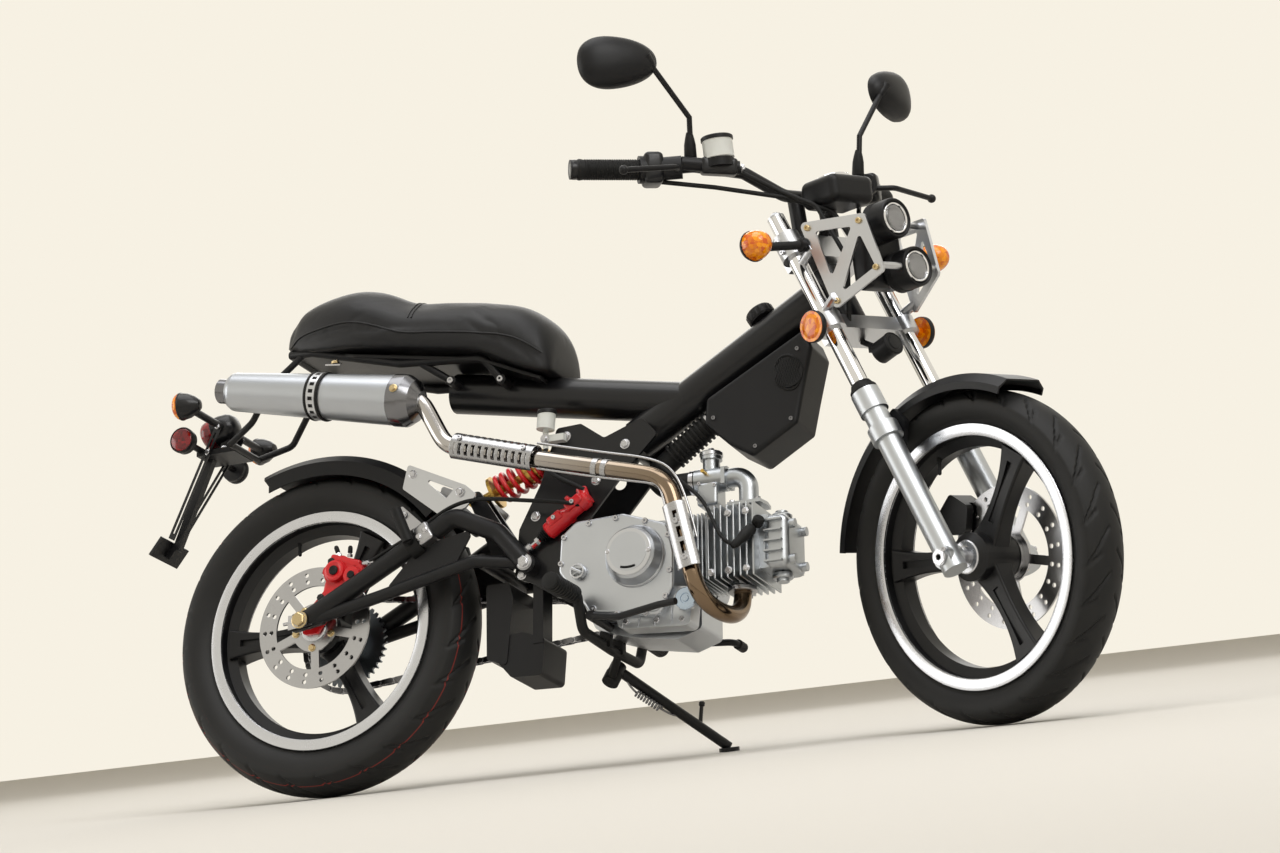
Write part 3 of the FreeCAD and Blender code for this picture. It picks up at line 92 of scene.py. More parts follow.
# %% [markdown]
# The photographer stood low on the right side, with a long lens and the camera tilted, so the camera
# is built from its own distance, bearing and roll instead of by eye.
# %% Camera
FOCAL_PIXELS = 3393.4
IMAGE_WIDTH = 1280.0
camera_data = bpy.data.cameras.new("camera")
camera_data.sensor_width = 36.0
camera_data.lens = FOCAL_PIXELS / IMAGE_WIDTH * camera_data.sensor_width
camera_data.clip_end = 60.0
camera = bpy.data.objects.new("camera", camera_data)
bpy.context.collection.objects.link(camera)
bearing, height_angle, roll = math.radians(22.312), math.radians(-4.493), math.radians(-6.586)
back = Vector((math.sin(bearing) * math.cos(height_angle), -math.cos(bearing) * math.cos(height_angle),
               math.sin(height_angle)))
right = (-back).cross(Vector((0, 0, 1))).normalized()
up = right.cross(-back)
right, up = (right * math.cos(roll) + up * math.sin(roll), up * math.cos(roll) - right * math.sin(roll))
AIM_FROM_AXLE = Vector((0.67059, -0.08049, 0.28184))
CAMERA_DISTANCE = 5.7318
aim = Vector(joints["rear_wheel_spin"]["pos_m"]) + AIM_FROM_AXLE
turn = Matrix((right, up, back)).transposed().to_4x4()
turn.translation = aim + back * CAMERA_DISTANCE
camera.matrix_world = turn
bpy.context.scene.camera = camera
print("camera at", [round(v, 3) for v in camera.location])

# %% [markdown]
# A studio: a pale floor, a pale backdrop that shows its own colour to the camera and to metal, four
# soft area lamps and a dim world. Chrome and polished paint need long bright shapes to mirror, so the
# lamps are large. The backdrop goes all round, far enough out that no side view stands behind it.
# %% Floor, backdrop and lights
CREAM = (0.93, 0.88, 0.77, 1.0)
FLOOR_GREY = (0.62, 0.6, 0.56, 1.0)
FLOOR_SIZE = 60.0
BACKDROP_RADIUS = 26.0
BACKDROP_HEIGHT = 34.6
BACKDROP_MIDDLE = 17.2


def stage_material(name, colour, glow):
    """A surface that a camera or a mirror sees at its own colour, and that light falls on as usual."""
    material = bpy.data.materials.new(name)
    material.use_nodes = True
    tree = material.node_tree
    shader = tree.nodes["Principled BSDF"]
    shader.inputs["Base Color"].default_value = colour
    shader.inputs["Roughness"].default_value = 0.9
    if glow:
        light = tree.nodes.new("ShaderNodeEmission")
        light.inputs["Color"].default_value = colour
        light.inputs["Strength"].default_value = 1.0
        path = tree.nodes.new("ShaderNodeLightPath")
        either = tree.nodes.new("ShaderNodeMath")
        either.operation = "MAXIMUM"
        mix = tree.nodes.new("ShaderNodeMixShader")
        tree.links.new(path.outputs["Is Camera Ray"], either.inputs[0])
        tree.links.new(path.outputs["Is Glossy Ray"], either.inputs[1])
        tree.links.new(either.outputs[0], mix.inputs[0])
        tree.links.new(shader.outputs[0], mix.inputs[1])
        tree.links.new(light.outputs[0], mix.inputs[2])
        tree.links.new(mix.outputs[0], tree.nodes["Material Output"].inputs[0])
    return material


def deselect():
    if bpy.context.object and bpy.context.object.mode != "OBJECT":
        bpy.ops.object.mode_set(mode="OBJECT")
    bpy.ops.object.select_all(action="DESELECT")


deselect()
bpy.ops.mesh.primitive_plane_add(size=FLOOR_SIZE, location=(0, 0, 0))
floor = bpy.context.object
floor.name = "floor"
floor.data.materials.append(stage_material("pale_floor", FLOOR_GREY, False))
deselect()
bpy.ops.mesh.primitive_cylinder_add(vertices=64, radius=BACKDROP_RADIUS, depth=BACKDROP_HEIGHT,
                                    end_fill_type="NOTHING", location=(0, 0, BACKDROP_MIDDLE))
backdrop = bpy.context.object
backdrop.name = "backdrop"
backdrop.data.materials.append(stage_material("pale_backdrop", CREAM, True))


def lamp(name, place, size, power, aim_at=(0, 0, 0.5)):
    data = bpy.data.lights.new(name, "AREA")
    data.shape = "RECTANGLE"
    data.size, data.size_y = size
    data.energy = power
    obj = bpy.data.objects.new(name, data)
    bpy.context.collection.objects.link(obj)
    obj.location = place
    obj.rotation_euler = (Vector(aim_at) - Vector(place)).to_track_quat("-Z", "Y").to_euler()


lamp("key_lamp", (3.4, -3.0, 4.8), (3.6, 3.0), 170)
lamp("fill_lamp", (-5.2, -1.8, 1.6), (3.0, 3.0), 60)
lamp("top_lamp", (-0.4, -0.4, 6.0), (5.0, 4.0), 150)
lamp("back_lamp", (-1.6, 4.6, 3.2), (4.4, 3.0), 70)
world = bpy.data.worlds.new("studio")
bpy.context.scene.world = world
world.use_nodes = True
world.node_tree.nodes["Background"].inputs["Color"].default_value = (1.0, 0.97, 0.92, 1.0)
world.node_tree.nodes["Background"].inputs["Strength"].default_value = 0.8
bpy.context.scene.view_settings.view_transform = "Standard"
print("lights set")

# %% [markdown]
# Every finish is a small node tree on object coordinates, so nothing needs unwrapping. A slow noise
# shifts the colour a little, as paint and castings never are one flat tone, and a fast noise drives
# roughness and a shallow bump. What is the same all over is set on the shader itself.
# %% Finishes
def finish(name, colour, rough, metal=0.0, coat=0.0, grain=900.0, bump=0.02, spread=0.12, wear=0.06,
           stretch=(1, 1, 1), specular=0.5):
    """A procedural finish: grain is cells per metre, spread the colour's change, wear the roughness's."""
    material = bpy.data.materials.new(name)
    material.use_nodes = True
    tree = material.node_tree
    shader = tree.nodes["Principled BSDF"]
    shader.inputs["Metallic"].default_value = metal
    shader.inputs["Specular IOR Level"].default_value = specular
    if coat:
        shader.inputs["Coat Weight"].default_value = coat
        shader.inputs["Coat Roughness"].default_value = 0.14
    where = tree.nodes.new("ShaderNodeTexCoord")
    mapping = tree.nodes.new("ShaderNodeMapping")
    mapping.inputs["Scale"].default_value = stretch
    tree.links.new(where.outputs["Object"], mapping.inputs["Vector"])
    cloud = tree.nodes.new("ShaderNodeTexNoise")
    cloud.inputs["Scale"].default_value = 14.0
    cloud.inputs["Detail"].default_value = 3.0
    tree.links.new(where.outputs["Object"], cloud.inputs["Vector"])
    tone = tree.nodes.new("ShaderNodeMix")
    tone.data_type = "RGBA"
    dark = [c * (1 - spread) for c in colour]
    light = [min(1.0, c * (1 + spread)) for c in colour]
    tone.inputs["A"].default_value = (*dark, 1)
    tone.inputs["B"].default_value = (*light, 1)
    tree.links.new(cloud.outputs["Fac"], tone.inputs["Factor"])
    tree.links.new(tone.outputs["Result"], shader.inputs["Base Color"])
    fine = tree.nodes.new("ShaderNodeTexNoise")
    fine.inputs["Scale"].default_value = grain
    fine.inputs["Detail"].default_value = 4.0
    tree.links.new(mapping.outputs["Vector"], fine.inputs["Vector"])
    rub = tree.nodes.new("ShaderNodeMapRange")
    rub.inputs["To Min"].default_value = max(0.02, rough - wear)
    rub.inputs["To Max"].default_value = min(1.0, rough + wear)
    tree.links.new(fine.outputs["Fac"], rub.inputs["Value"])
    tree.links.new(rub.outputs["Result"], shader.inputs["Roughness"])
    if bump:
        relief = tree.nodes.new("ShaderNodeBump")
        relief.inputs["Strength"].default_value = 1.0
        relief.inputs["Distance"].default_value = bump / 1000
        tree.links.new(fine.outputs["Fac"], relief.inputs["Height"])
        tree.links.new(relief.outputs["Normal"], shader.inputs["Normal"])
    return material


F = {
    "black_paint": finish("gloss_black", (0.006, 0.006, 0.007), 0.36, coat=0.25, grain=500, bump=0.008,
                          specular=0.25),
    "black_satin": finish("satin_black", (0.008, 0.008, 0.009), 0.40, grain=1500, bump=0.03, specular=0.28),
    "satin_steel": finish("satin_can", (0.46, 0.48, 0.51), 0.36, metal=1.0, grain=300, bump=0.012,
                          stretch=(0.08, 4, 4), spread=0.05),
    "chrome": finish("chrome", (0.72, 0.72, 0.73), 0.08, metal=1.0, grain=200, bump=0, wear=0.03, spread=0.03),
    "engine_silver": finish("engine_silver", (0.51, 0.53, 0.56), 0.32, metal=1.0, grain=1800, bump=0.05,
                            spread=0.07),
    "raw_aluminium": finish("cast_aluminium", (0.46, 0.48, 0.50), 0.36, metal=1.0, grain=900, bump=0.12,
                            spread=0.12),
    "bright_aluminium": finish("bright_aluminium", (0.56, 0.57, 0.59), 0.32, metal=1.0, grain=260, bump=0.012,
                               stretch=(6, 6, 0.2), spread=0.04),
    "black_plastic": finish("black_plastic", (0.007, 0.007, 0.008), 0.44, grain=2600, bump=0.035, spread=0.15,
                            specular=0.26),
    "black_rubber": finish("black_rubber", (0.007, 0.007, 0.007), 0.60, grain=1400, bump=0.04, spread=0.2,
                           specular=0.25),
    "red_paint": finish("red_lacquer", (0.62, 0.006, 0.012), 0.34, coat=0.25, grain=600, bump=0.01),
    "yellow_zinc": finish("yellow_zinc", (0.60, 0.38, 0.09), 0.30, metal=0.9, grain=400, bump=0.01, spread=0.25),
    "white_plastic": finish("white_plastic", (0.68, 0.70, 0.68), 0.36, grain=800, bump=0.01, spread=0.05),
    "zinc_steel": finish("zinc_steel", (0.42, 0.42, 0.43), 0.33, metal=1.0, grain=900, bump=0.02, spread=0.15),
    "disc_steel": finish("disc_steel", (0.45, 0.45, 0.46), 0.30, metal=1.0, grain=700, bump=0.02, spread=0.08),
    "black_cast": finish("black_cast", (0.007, 0.007, 0.008), 0.36, grain=1000, bump=0.05, specular=0.3),
    "tyre": finish("tyre_rubber", (0.011, 0.011, 0.011), 0.58, grain=1200, bump=0.05, spread=0.25, specular=0.28),
    "vinyl": finish("grained_vinyl", (0.007, 0.007, 0.008), 0.46, grain=1500, bump=0.08, spread=0.2, wear=0.08,
                    specular=0.32),
}
POLISHED = finish("machined_rim", (0.60, 0.61, 0.64), 0.27, metal=1.0, grain=60, bump=0, spread=0.03, wear=0.02)
BOLT_STEEL = finish("bolt_steel", (0.52, 0.52, 0.54), 0.26, metal=1.0, grain=800, bump=0.01)
BRASS_BOLT = finish("brass_coloured_bolt", (0.55, 0.43, 0.24), 0.28, metal=1.0, grain=800, bump=0.01)
DULL_CHROME = finish("brushed_guards", (0.42, 0.42, 0.43), 0.26, metal=1.0, grain=500, bump=0.006, spread=0.05)
DARK_STEEL = finish("dark_chrome", (0.20, 0.20, 0.21), 0.22, metal=1.0, grain=400, bump=0.01)


def lens_finish(name, colour, rough=0.08, through=0.6, glow=0.0):
    """A coloured clear plastic: some light passes, and fine flutes break it up."""
    material = finish(name, colour, rough, grain=260, bump=0.12, spread=0.10, wear=0.03)
    shader = material.node_tree.nodes["Principled BSDF"]
    shader.inputs["Transmission Weight"].default_value = through
    shader.inputs["IOR"].default_value = 1.46
    shader.inputs["Coat Weight"].default_value = 0.3
    shader.inputs["Coat Roughness"].default_value = 0.03
    return material


def lens_with_painted_glints(name, deep, bright, cells, rough=0.12):
    """A lens whose colour goes cell by cell from deep to bright: painted glints, standing in for the light that
    small facets throw back.
    """
    material = lens_finish(name, deep, rough=rough, through=0.0)
    tree = material.node_tree
    painted_glint_cells = tree.nodes.new("ShaderNodeTexVoronoi")
    painted_glint_cells.inputs["Scale"].default_value = cells
    split = tree.nodes.new("ShaderNodeSeparateColor")
    blend = tree.nodes.new("ShaderNodeMix")
    blend.data_type = "RGBA"
    blend.inputs["A"].default_value = (*deep, 1)
    blend.inputs["B"].default_value = (*bright, 1)
    tree.links.new(tree.nodes["Texture Coordinate"].outputs["Object"], painted_glint_cells.inputs["Vector"])
    tree.links.new(painted_glint_cells.outputs["Color"], split.inputs["Color"])
    tree.links.new(split.outputs["Red"], blend.inputs["Factor"])
    tree.links.new(blend.outputs["Result"], tree.nodes["Principled BSDF"].inputs["Base Color"])
    return material


# The bright cells of these lenses are painted glints: colour standing in for light thrown back by facets.
F["amber_lens"] = lens_with_painted_glints("amber_lens", (0.62, 0.085, 0.0), (1.0, 0.36, 0.0), 150.0)
F["red_lens"] = lens_with_painted_glints("red_lens", (0.10, 0.002, 0.005), (0.30, 0.004, 0.010), 150.0)
CLEAR = lens_finish("clear_glass", (0.96, 0.97, 0.98), rough=0.02, through=0.96)


def turned_finish(name, colour, centre, direction, rough):
    """Steel with the fine rings that turning or grinding leaves, centred on the wheel's own axle."""
    material = finish(name, colour, rough, metal=1.0, grain=500, bump=0, spread=0.06, wear=0.03)
    tree = material.node_tree
    where = tree.nodes["Texture Coordinate"]
    mapping = tree.nodes.new("ShaderNodeMapping")
    mapping.vector_type = "TEXTURE"
    mapping.inputs["Location"].default_value = centre
    mapping.inputs["Rotation"].default_value = direction.to_track_quat("Z", "Y").to_euler()
    rings = tree.nodes.new("ShaderNodeTexWave")
    rings.wave_type = "RINGS"
    rings.rings_direction = "Z"
    rings.inputs["Scale"].default_value = 420.0
    rings.inputs["Distortion"].default_value = 1.5
    rings.inputs["Detail"].default_value = 2.0
    tree.links.new(where.outputs["Object"], mapping.inputs["Vector"])
    tree.links.new(mapping.outputs["Vector"], rings.inputs["Vector"])
    tree.links.new(rings.outputs["Fac"], tree.nodes["Map Range"].inputs["Value"])
    return material


REAR_DISC = turned_finish("rear_disc_steel", (0.45, 0.45, 0.46), BODY @ REAR_AXLE, across, 0.28)
front_across = Vector(joints["front_wheel_spin"]["axis"])
FRONT_DISC = turned_finish("front_disc_steel", (0.45, 0.45, 0.46), FRONT @ FRONT_AXLE, front_across, 0.28)


def heated_finish():
    """Chrome that heat has turned straw and brown from the middle of the pipe to the engine."""
    material = finish("heated_chrome", (0.8, 0.8, 0.8), 0.13, metal=1.0, grain=250, bump=0, wear=0.05)
    tree = material.node_tree
    where = tree.nodes["Texture Coordinate"]
    mapping = tree.nodes.new("ShaderNodeMapping")
    mapping.vector_type = "TEXTURE"
    mapping.inputs["Location"].default_value = BODY @ V(430, -150, 500)
    split = tree.nodes.new("ShaderNodeSeparateXYZ")
    warm = tree.nodes.new("ShaderNodeValToRGB")
    ramp = warm.color_ramp
    ramp.elements[0].position, ramp.elements[0].color = 0.0, (0.46, 0.44, 0.42, 1)
    ramp.elements[1].position, ramp.elements[1].color = 0.42, (0.17, 0.105, 0.055, 1)
    middle = ramp.elements.new(0.2)
    middle.color = (0.26, 0.21, 0.16, 1)
    tree.links.new(where.outputs["Object"], mapping.inputs["Vector"])
    tree.links.new(mapping.outputs["Vector"], split.inputs["Vector"])
    tree.links.new(split.outputs["X"], warm.inputs["Fac"])
    tree.links.new(warm.outputs["Color"], tree.nodes["Principled BSDF"].inputs["Base Color"])
    return material


HEATED = heated_finish()
slots = {p["node"]: p["material_slot"] for p in frame["record"]["subparts"]}
SLIDER = finish("satin_slider", (0.50, 0.52, 0.54), 0.40, metal=1.0, grain=500, bump=0.01, spread=0.04)
WORN_ZINC = finish("worn_zinc", (0.20, 0.22, 0.24), 0.34, metal=1.0, grain=700, bump=0.02, spread=0.2)
special = {"exhaust_pipe": HEATED, "rear_disc": REAR_DISC, "front_disc": FRONT_DISC, "fork_sliders": SLIDER,
           "rear_sprocket": WORN_ZINC, "heat_shields": DULL_CHROME}
for name, node in nodes.items():
    node.data.materials.clear()
    node.data.materials.append(special.get(name) or F[slots[name]])
print("finishes", len(bpy.data.materials))

# %% [markdown]
# Most machine parts are turned, bent or sheet shapes. A turned piece starts as a circle that is
# extruded and resized once for each step of its profile. A bar is a curve with a round bevel. When a
# piece is done it is moved from the upright machine to its leaned place, with its mesh, and its
# object stays at the origin.
# %% Tools for turned pieces, bars and repeats
def edit_all(obj):
    deselect()
    obj.select_set(True)
    bpy.context.view_layer.objects.active = obj
    bpy.ops.object.mode_set(mode="EDIT")
    bpy.ops.mesh.select_all(action="SELECT")


def turned(name, profile, vertices=48, ring=False):
    """A turned piece round its own z axis; the profile lists (radius, along) in millimetres."""
    deselect()
    radius, along = profile[0]
    bpy.ops.mesh.primitive_circle_add(vertices=vertices, radius=radius / 1000, location=(0, 0, along / 1000),
                                      fill_type="NOTHING" if ring else "NGON")
    obj = bpy.context.object
    obj.name = name
    bpy.ops.object.transform_apply(location=True, rotation=True, scale=True)
    bpy.ops.object.mode_set(mode="EDIT")
    bpy.ops.mesh.select_all(action="SELECT")
    for r, a in profile[1:]:
        if ring:
            bpy.ops.mesh.extrude_edges_move(TRANSFORM_OT_translate={"value": (0, 0, (a - along) / 1000)})
        else:
            bpy.ops.mesh.extrude_region_move(TRANSFORM_OT_translate={"value": (0, 0, (a - along) / 1000)})
        bpy.ops.transform.resize(value=(r / radius, r / radius, 1), center_override=(0, 0, a / 1000))
        radius, along = r, a
    bpy.ops.mesh.select_all(action="SELECT")
    bpy.ops.mesh.remove_doubles(threshold=1e-6)
    bpy.ops.mesh.normals_make_consistent(inside=False)
    bpy.ops.object.mode_set(mode="OBJECT")
    return obj


def apply_modifier(obj, kind, **settings):
    deselect()
    obj.select_set(True)
    bpy.context.view_layer.objects.active = obj
    bpy.ops.object.modifier_add(type=kind)
    modifier = obj.modifiers[-1]
    for key, value in settings.items():
        setattr(modifier, key, value)
    bpy.ops.object.modifier_apply(modifier=modifier.name)


def aimed(at, direction, spin=0.0):
    """A matrix that stands a piece's z axis along a direction at a place of the upright machine."""
    turn = Vector(direction).normalized().to_track_quat("Z", "Y").to_matrix().to_4x4()
    return Matrix.Translation(at) @ turn @ Matrix.Rotation(spin, 4, "Z")


def without_faces(obj, unwanted):
    """Takes out the faces whose place answers to `unwanted`, which leaves holes in a sheet."""
    edit_all(obj)
    bpy.ops.mesh.select_all(action="DESELECT")
    bpy.ops.object.mode_set(mode="OBJECT")
    for face in obj.data.polygons:
        face.select = unwanted(face.center)
    bpy.ops.object.mode_set(mode="EDIT")
    bpy.ops.mesh.delete(type="FACE")
    bpy.ops.object.mode_set(mode="OBJECT")


def softened_cube(name, place, width, segments=4):
    """A cube brought to its place and size by a matrix, with rounded edges."""
    deselect()
    bpy.ops.mesh.primitive_cube_add(size=1.0)
    obj = bpy.context.object
    obj.name = name
    obj.data.transform(place)
    apply_modifier(obj, "BEVEL", width=width, segments=segments)
    return obj


def stood(piece, at, direction):
    """Stands a turned piece on a place of the upright machine."""
    piece.data.transform(aimed(at, direction))
    return piece


def settle(obj, body, material, at=Matrix.Identity(4), angle=32):
    """Leans a finished piece into its place, gives it its finish and lets it ride on its body."""
    deselect()
    obj.select_set(True)
    bpy.context.view_layer.objects.active = obj
    bpy.ops.object.shade_smooth_by_angle(angle=math.radians(angle))
    obj.data.transform(PLACE[body] @ at @ obj.matrix_world)
    obj.matrix_world = Matrix.Identity(4)
    if len(obj.data.materials) == 0:
        obj.data.materials.append(material)
    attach(obj, body)
    return obj


def joined(name, objs):
    deselect()
    for o in objs:
        o.select_set(True)
    bpy.context.view_layer.objects.active = objs[0]
    bpy.ops.object.join()
    objs[0].name = name
    return objs[0]


def repeated(name, model, places):
    """Copies of one modelled piece, each with its own mesh, joined under one name."""
    copies = []
    for place in places:
        copy = model.copy()
        copy.data = model.data.copy()
        copy.data.transform(place)
        bpy.context.collection.objects.link(copy)
        copies.append(copy)
    bpy.data.objects.remove(model)
    return joined(name, copies)


def bar(name, points, r, cyclic=False, sides=8, order=4, straight=False):
    """A round bar or pipe through points of the upright machine, in metres."""
    curve = bpy.data.curves.new(name, "CURVE")
    curve.dimensions = "3D"
    curve.bevel_depth = r / 1000
    curve.bevel_resolution = sides // 2
    curve.resolution_u = 10
    curve.use_fill_caps = True
    spline = curve.splines.new("POLY" if straight else "NURBS")
    spline.points.add(len(points) - 1)
    for point, place in zip(spline.points, points):
        point.co = (*place, 1)
    spline.use_cyclic_u = cyclic
    if not straight:
        spline.order_u = min(order, len(points))
        spline.use_endpoint_u = not cyclic
    obj = bpy.data.objects.new(name, curve)
    bpy.context.collection.objects.link(obj)
    deselect()
    obj.select_set(True)
    bpy.context.view_layer.objects.active = obj
    bpy.ops.object.convert(target="MESH")
    edit_all(bpy.context.object)
    bpy.ops.mesh.remove_doubles(threshold=1e-6)
    bpy.ops.mesh.normals_make_consistent(inside=False)
    bpy.ops.object.mode_set(mode="OBJECT")
    return bpy.context.object


def sheet_shape(name, corners, thick, rounding=0.0):
    """A flat plate from its corners (in metres, on the upright machine), with its corners rounded when rounding is
    given.
    """
    deselect()
    bpy.ops.mesh.primitive_plane_add(size=0.01)
    obj = bpy.context.object
    obj.name = name
    mesh = bmesh.new()
    mesh.faces.new([mesh.verts.new(c) for c in corners])
    mesh.to_mesh(obj.data)
    mesh.free()
    if rounding:
        edit_all(obj)
        bpy.ops.mesh.bevel(offset=rounding, segments=4, affect="VERTICES")
        bpy.ops.object.mode_set(mode="OBJECT")
    edit_all(obj)
    bpy.ops.mesh.extrude_region_move(TRANSFORM_OT_translate={"value": thick})
    bpy.ops.mesh.select_all(action="SELECT")
    bpy.ops.mesh.normals_make_consistent(inside=False)
    bpy.ops.object.mode_set(mode="OBJECT")
    return obj


# %% [markdown]
# Bolts are what makes a machine look real, so three kinds are modelled once: a hexagon head on a
# washer, a socket screw with a round hole sunk in its head, and a domed nut. Lists of places then copy them.
# %% Bolts
def hex_bolt(r, high):
    """A hexagon head with a chamfered top, on a round washer face."""
    washer = turned("washer", [(r * 1.28, 0), (r * 1.28, high * 0.22), (r * 1.1, high * 0.30)], 24)
    head = turned("head", [(r * 1.06, high * 0.22), (r * 1.06, high * 0.86), (r * 0.88, high), (r * 0.3, high)], 6)
    return joined("hex_bolt", [washer, head])


def socket_bolt(r, high):
    """A round head with a round hole sunk in its top."""
    body = turned("head", [(r, 0), (r, high * 0.8), (r * 0.86, high)], 24)
    edit_all(body)
    bpy.ops.mesh.select_all(action="DESELECT")
    bpy.ops.object.mode_set(mode="OBJECT")
    for face in body.data.polygons:
        face.select = face.normal.z > 0.9 and face.center.z > high * 0.0009
    bpy.ops.object.mode_set(mode="EDIT")
    bpy.ops.mesh.inset(thickness=r * 0.00042, depth=0)
    bpy.ops.mesh.extrude_region_move(TRANSFORM_OT_translate={"value": (0, 0, -high * 0.0006)})
    bpy.ops.object.mode_set(mode="OBJECT")
    return body


def dome_nut(r, high):
    return turned("dome_nut", [(r * 1.2, 0), (r * 1.2, high * 0.15), (r, high * 0.2), (r, high * 0.55),
                               (r * 0.9, high * 0.75),
                               (r * 0.6, high * 0.93), (r * 0.2, high)], 12)


def bolts(name, model, places, body, material=None):
    """places lists (point in millimetres, direction)."""
    obj = repeated(name, model, [aimed(V(*p), d, 0.3 * i) for i, (p, d) in enumerate(places)])
    settle(obj, body, material or BOLT_STEEL)
    print(name, len(places))
    return obj


RIGHT, LEFT, UP = (0, -1, 0), (0, 1, 0), (0, 0, 1)

# %% [markdown]
# The tyres are road tyres with long swept grooves. Each is turned from a profile with enough steps
# round it, and then the tread's points are pushed in along the grooves, left and right half a pitch
# apart. A number kept on every point, its place across the tread, lets the rubber show the thin red
# lines that new tyres carry.
# %% Tyres
def arc_points(a, b, c, steps):
    """Points on the circle through three (radius, along) places, from a to c."""
    ax, ay, bx, by, cx, cy = *a, *b, *c
    d = 2 * (ax * (by - cy) + bx * (cy - ay) + cx * (ay - by))
    ux = ((ax**2 + ay**2) * (by - cy) + (bx**2 + by**2) * (cy - ay) + (cx**2 + cy**2) * (ay - by)) / d
    uy = ((ax**2 + ay**2) * (cx - bx) + (bx**2 + by**2) * (ax - cx) + (cx**2 + cy**2) * (bx - ax)) / d
    r = math.hypot(ax - ux, ay - uy)
    t0, t1, t2 = (math.atan2(y - uy, x - ux) for x, y in (a, b, c))
    t1 += 2 * math.pi * round((t0 - t1) / (2 * math.pi))
    t2 += 2 * math.pi * round((t1 - t2) / (2 * math.pi))
    return [(ux + r * math.cos(t0 + (t2 - t0) * i / steps), uy + r * math.sin(t0 + (t2 - t0) * i / steps))
            for i in range(steps + 1)]


def tyre_rubber():
    """Tyre rubber with two thin red lines, read from the place across the tread."""
    material = finish("tyre_with_red_lines", (0.011, 0.011, 0.011), 0.56, grain=1200, bump=0.05, spread=0.25,
                      specular=0.3)
    tree = material.node_tree
    place = tree.nodes.new("ShaderNodeAttribute")
    place.attribute_name = "across"
    near = []
    for at in (0.44, -0.70):
        off = tree.nodes.new("ShaderNodeMath")
        off.operation = "COMPARE"
        off.inputs[1].default_value = at
        off.inputs[2].default_value = 0.013
        tree.links.new(place.outputs["Fac"], off.inputs[0])
        near.append(off)
    either = tree.nodes.new("ShaderNodeMath")
    either.operation = "MAXIMUM"
    tree.links.new(near[0].outputs[0], either.inputs[0])
    tree.links.new(near[1].outputs[0], either.inputs[1])
    soften = tree.nodes.new("ShaderNodeMath")
    soften.operation = "MULTIPLY"
    soften.inputs[1].default_value = 0.6
    tree.links.new(either.outputs[0], soften.inputs[0])
    paint = tree.nodes.new("ShaderNodeMix")
    paint.data_type = "RGBA"
    base = tree.nodes["Principled BSDF"].inputs["Base Color"]
    tree.links.new(base.links[0].from_socket, paint.inputs["A"])
    paint.inputs["B"].default_value = (0.36, 0.03, 0.02, 1)
    tree.links.new(soften.outputs[0], paint.inputs["Factor"])
    tree.links.new(paint.outputs["Result"], base)
    return material


TYRE_RUBBER = tyre_rubber()


def treaded_tyre(name, axle, tyre_r, width, rim_half, body, pitches, rubber):
    half = width / 2
    bead = rim_half - 5.2
    shoulder = tyre_r - width * 0.2
    middle = (218 + shoulder) / 2
    wall = [(219.0, -bead), (221.0, -bead - 2.2), (223.0, -bead - 2.4)]
    wall += arc_points((225, -bead - 3.5), (middle + 4, -half + 1), (shoulder, -half + 2), 12)
    crown = arc_points((shoulder, -half + 2), (tyre_r, 0), (shoulder, half - 2), 44)
    profile = [(203.2, -bead)] + wall + crown[1:-1] + [(r, -a) for r, a in reversed(wall)] + [(203.2, bead),
                                                                                              (203.2, -bead)]
    obj = turned(name, profile, vertices=640, ring=True)
    across_tread = []
    for v in obj.data.vertices:
        r = math.hypot(v.co.x, v.co.y) * 1000
        s = v.co.z * 1000 / half
        across_tread.append(s if r > shoulder - 14 else 9.0)
        if r < shoulder - 6:
            continue
        side = 0.5 if s > 0 else 0.0
        s = abs(s)
        phase = math.atan2(v.co.y, v.co.x) / (2 * math.pi) * pitches + side
        pitch = 2 * math.pi * tyre_r / pitches
        depth = 0.0
        for start, low, high, sweep in ((0.0, 0.10, 0.97, 0.95), (0.42, 0.50, 1.02, 0.55)):
            if low < s < high:
                off = abs((phase - start - sweep * s ** 1.4 + 0.5) % 1.0 - 0.5) * pitch
                edge = min(1.0, (s - low) / 0.06, (high - s) / 0.06)
                depth = max(depth, edge * min(1.0, max(0.0, (4.2 - off) / 1.8)))
        if abs(s - 0.36) < 0.02:
            depth = max(depth, 0.55)
        v.co.x *= 1 - depth * 3.4 / r
        v.co.y *= 1 - depth * 3.4 / r
    layer = obj.data.attributes.new("across", "FLOAT", "POINT")
    layer.data.foreach_set("value", across_tread)
    settle(obj, body, rubber, aimed(axle, LEFT), angle=50)
    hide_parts(name.replace("_tread", ""))
    print(name, len(obj.data.polygons), "faces")
    return obj


treaded_tyre("rear_tyre_tread", REAR_AXLE, 292, 110, 44, "rear_wheel", 24, TYRE_RUBBER)
treaded_tyre("front_tyre_tread", FRONT_AXLE, 275, 90, 37, "front_wheel", 24, F["tyre"])

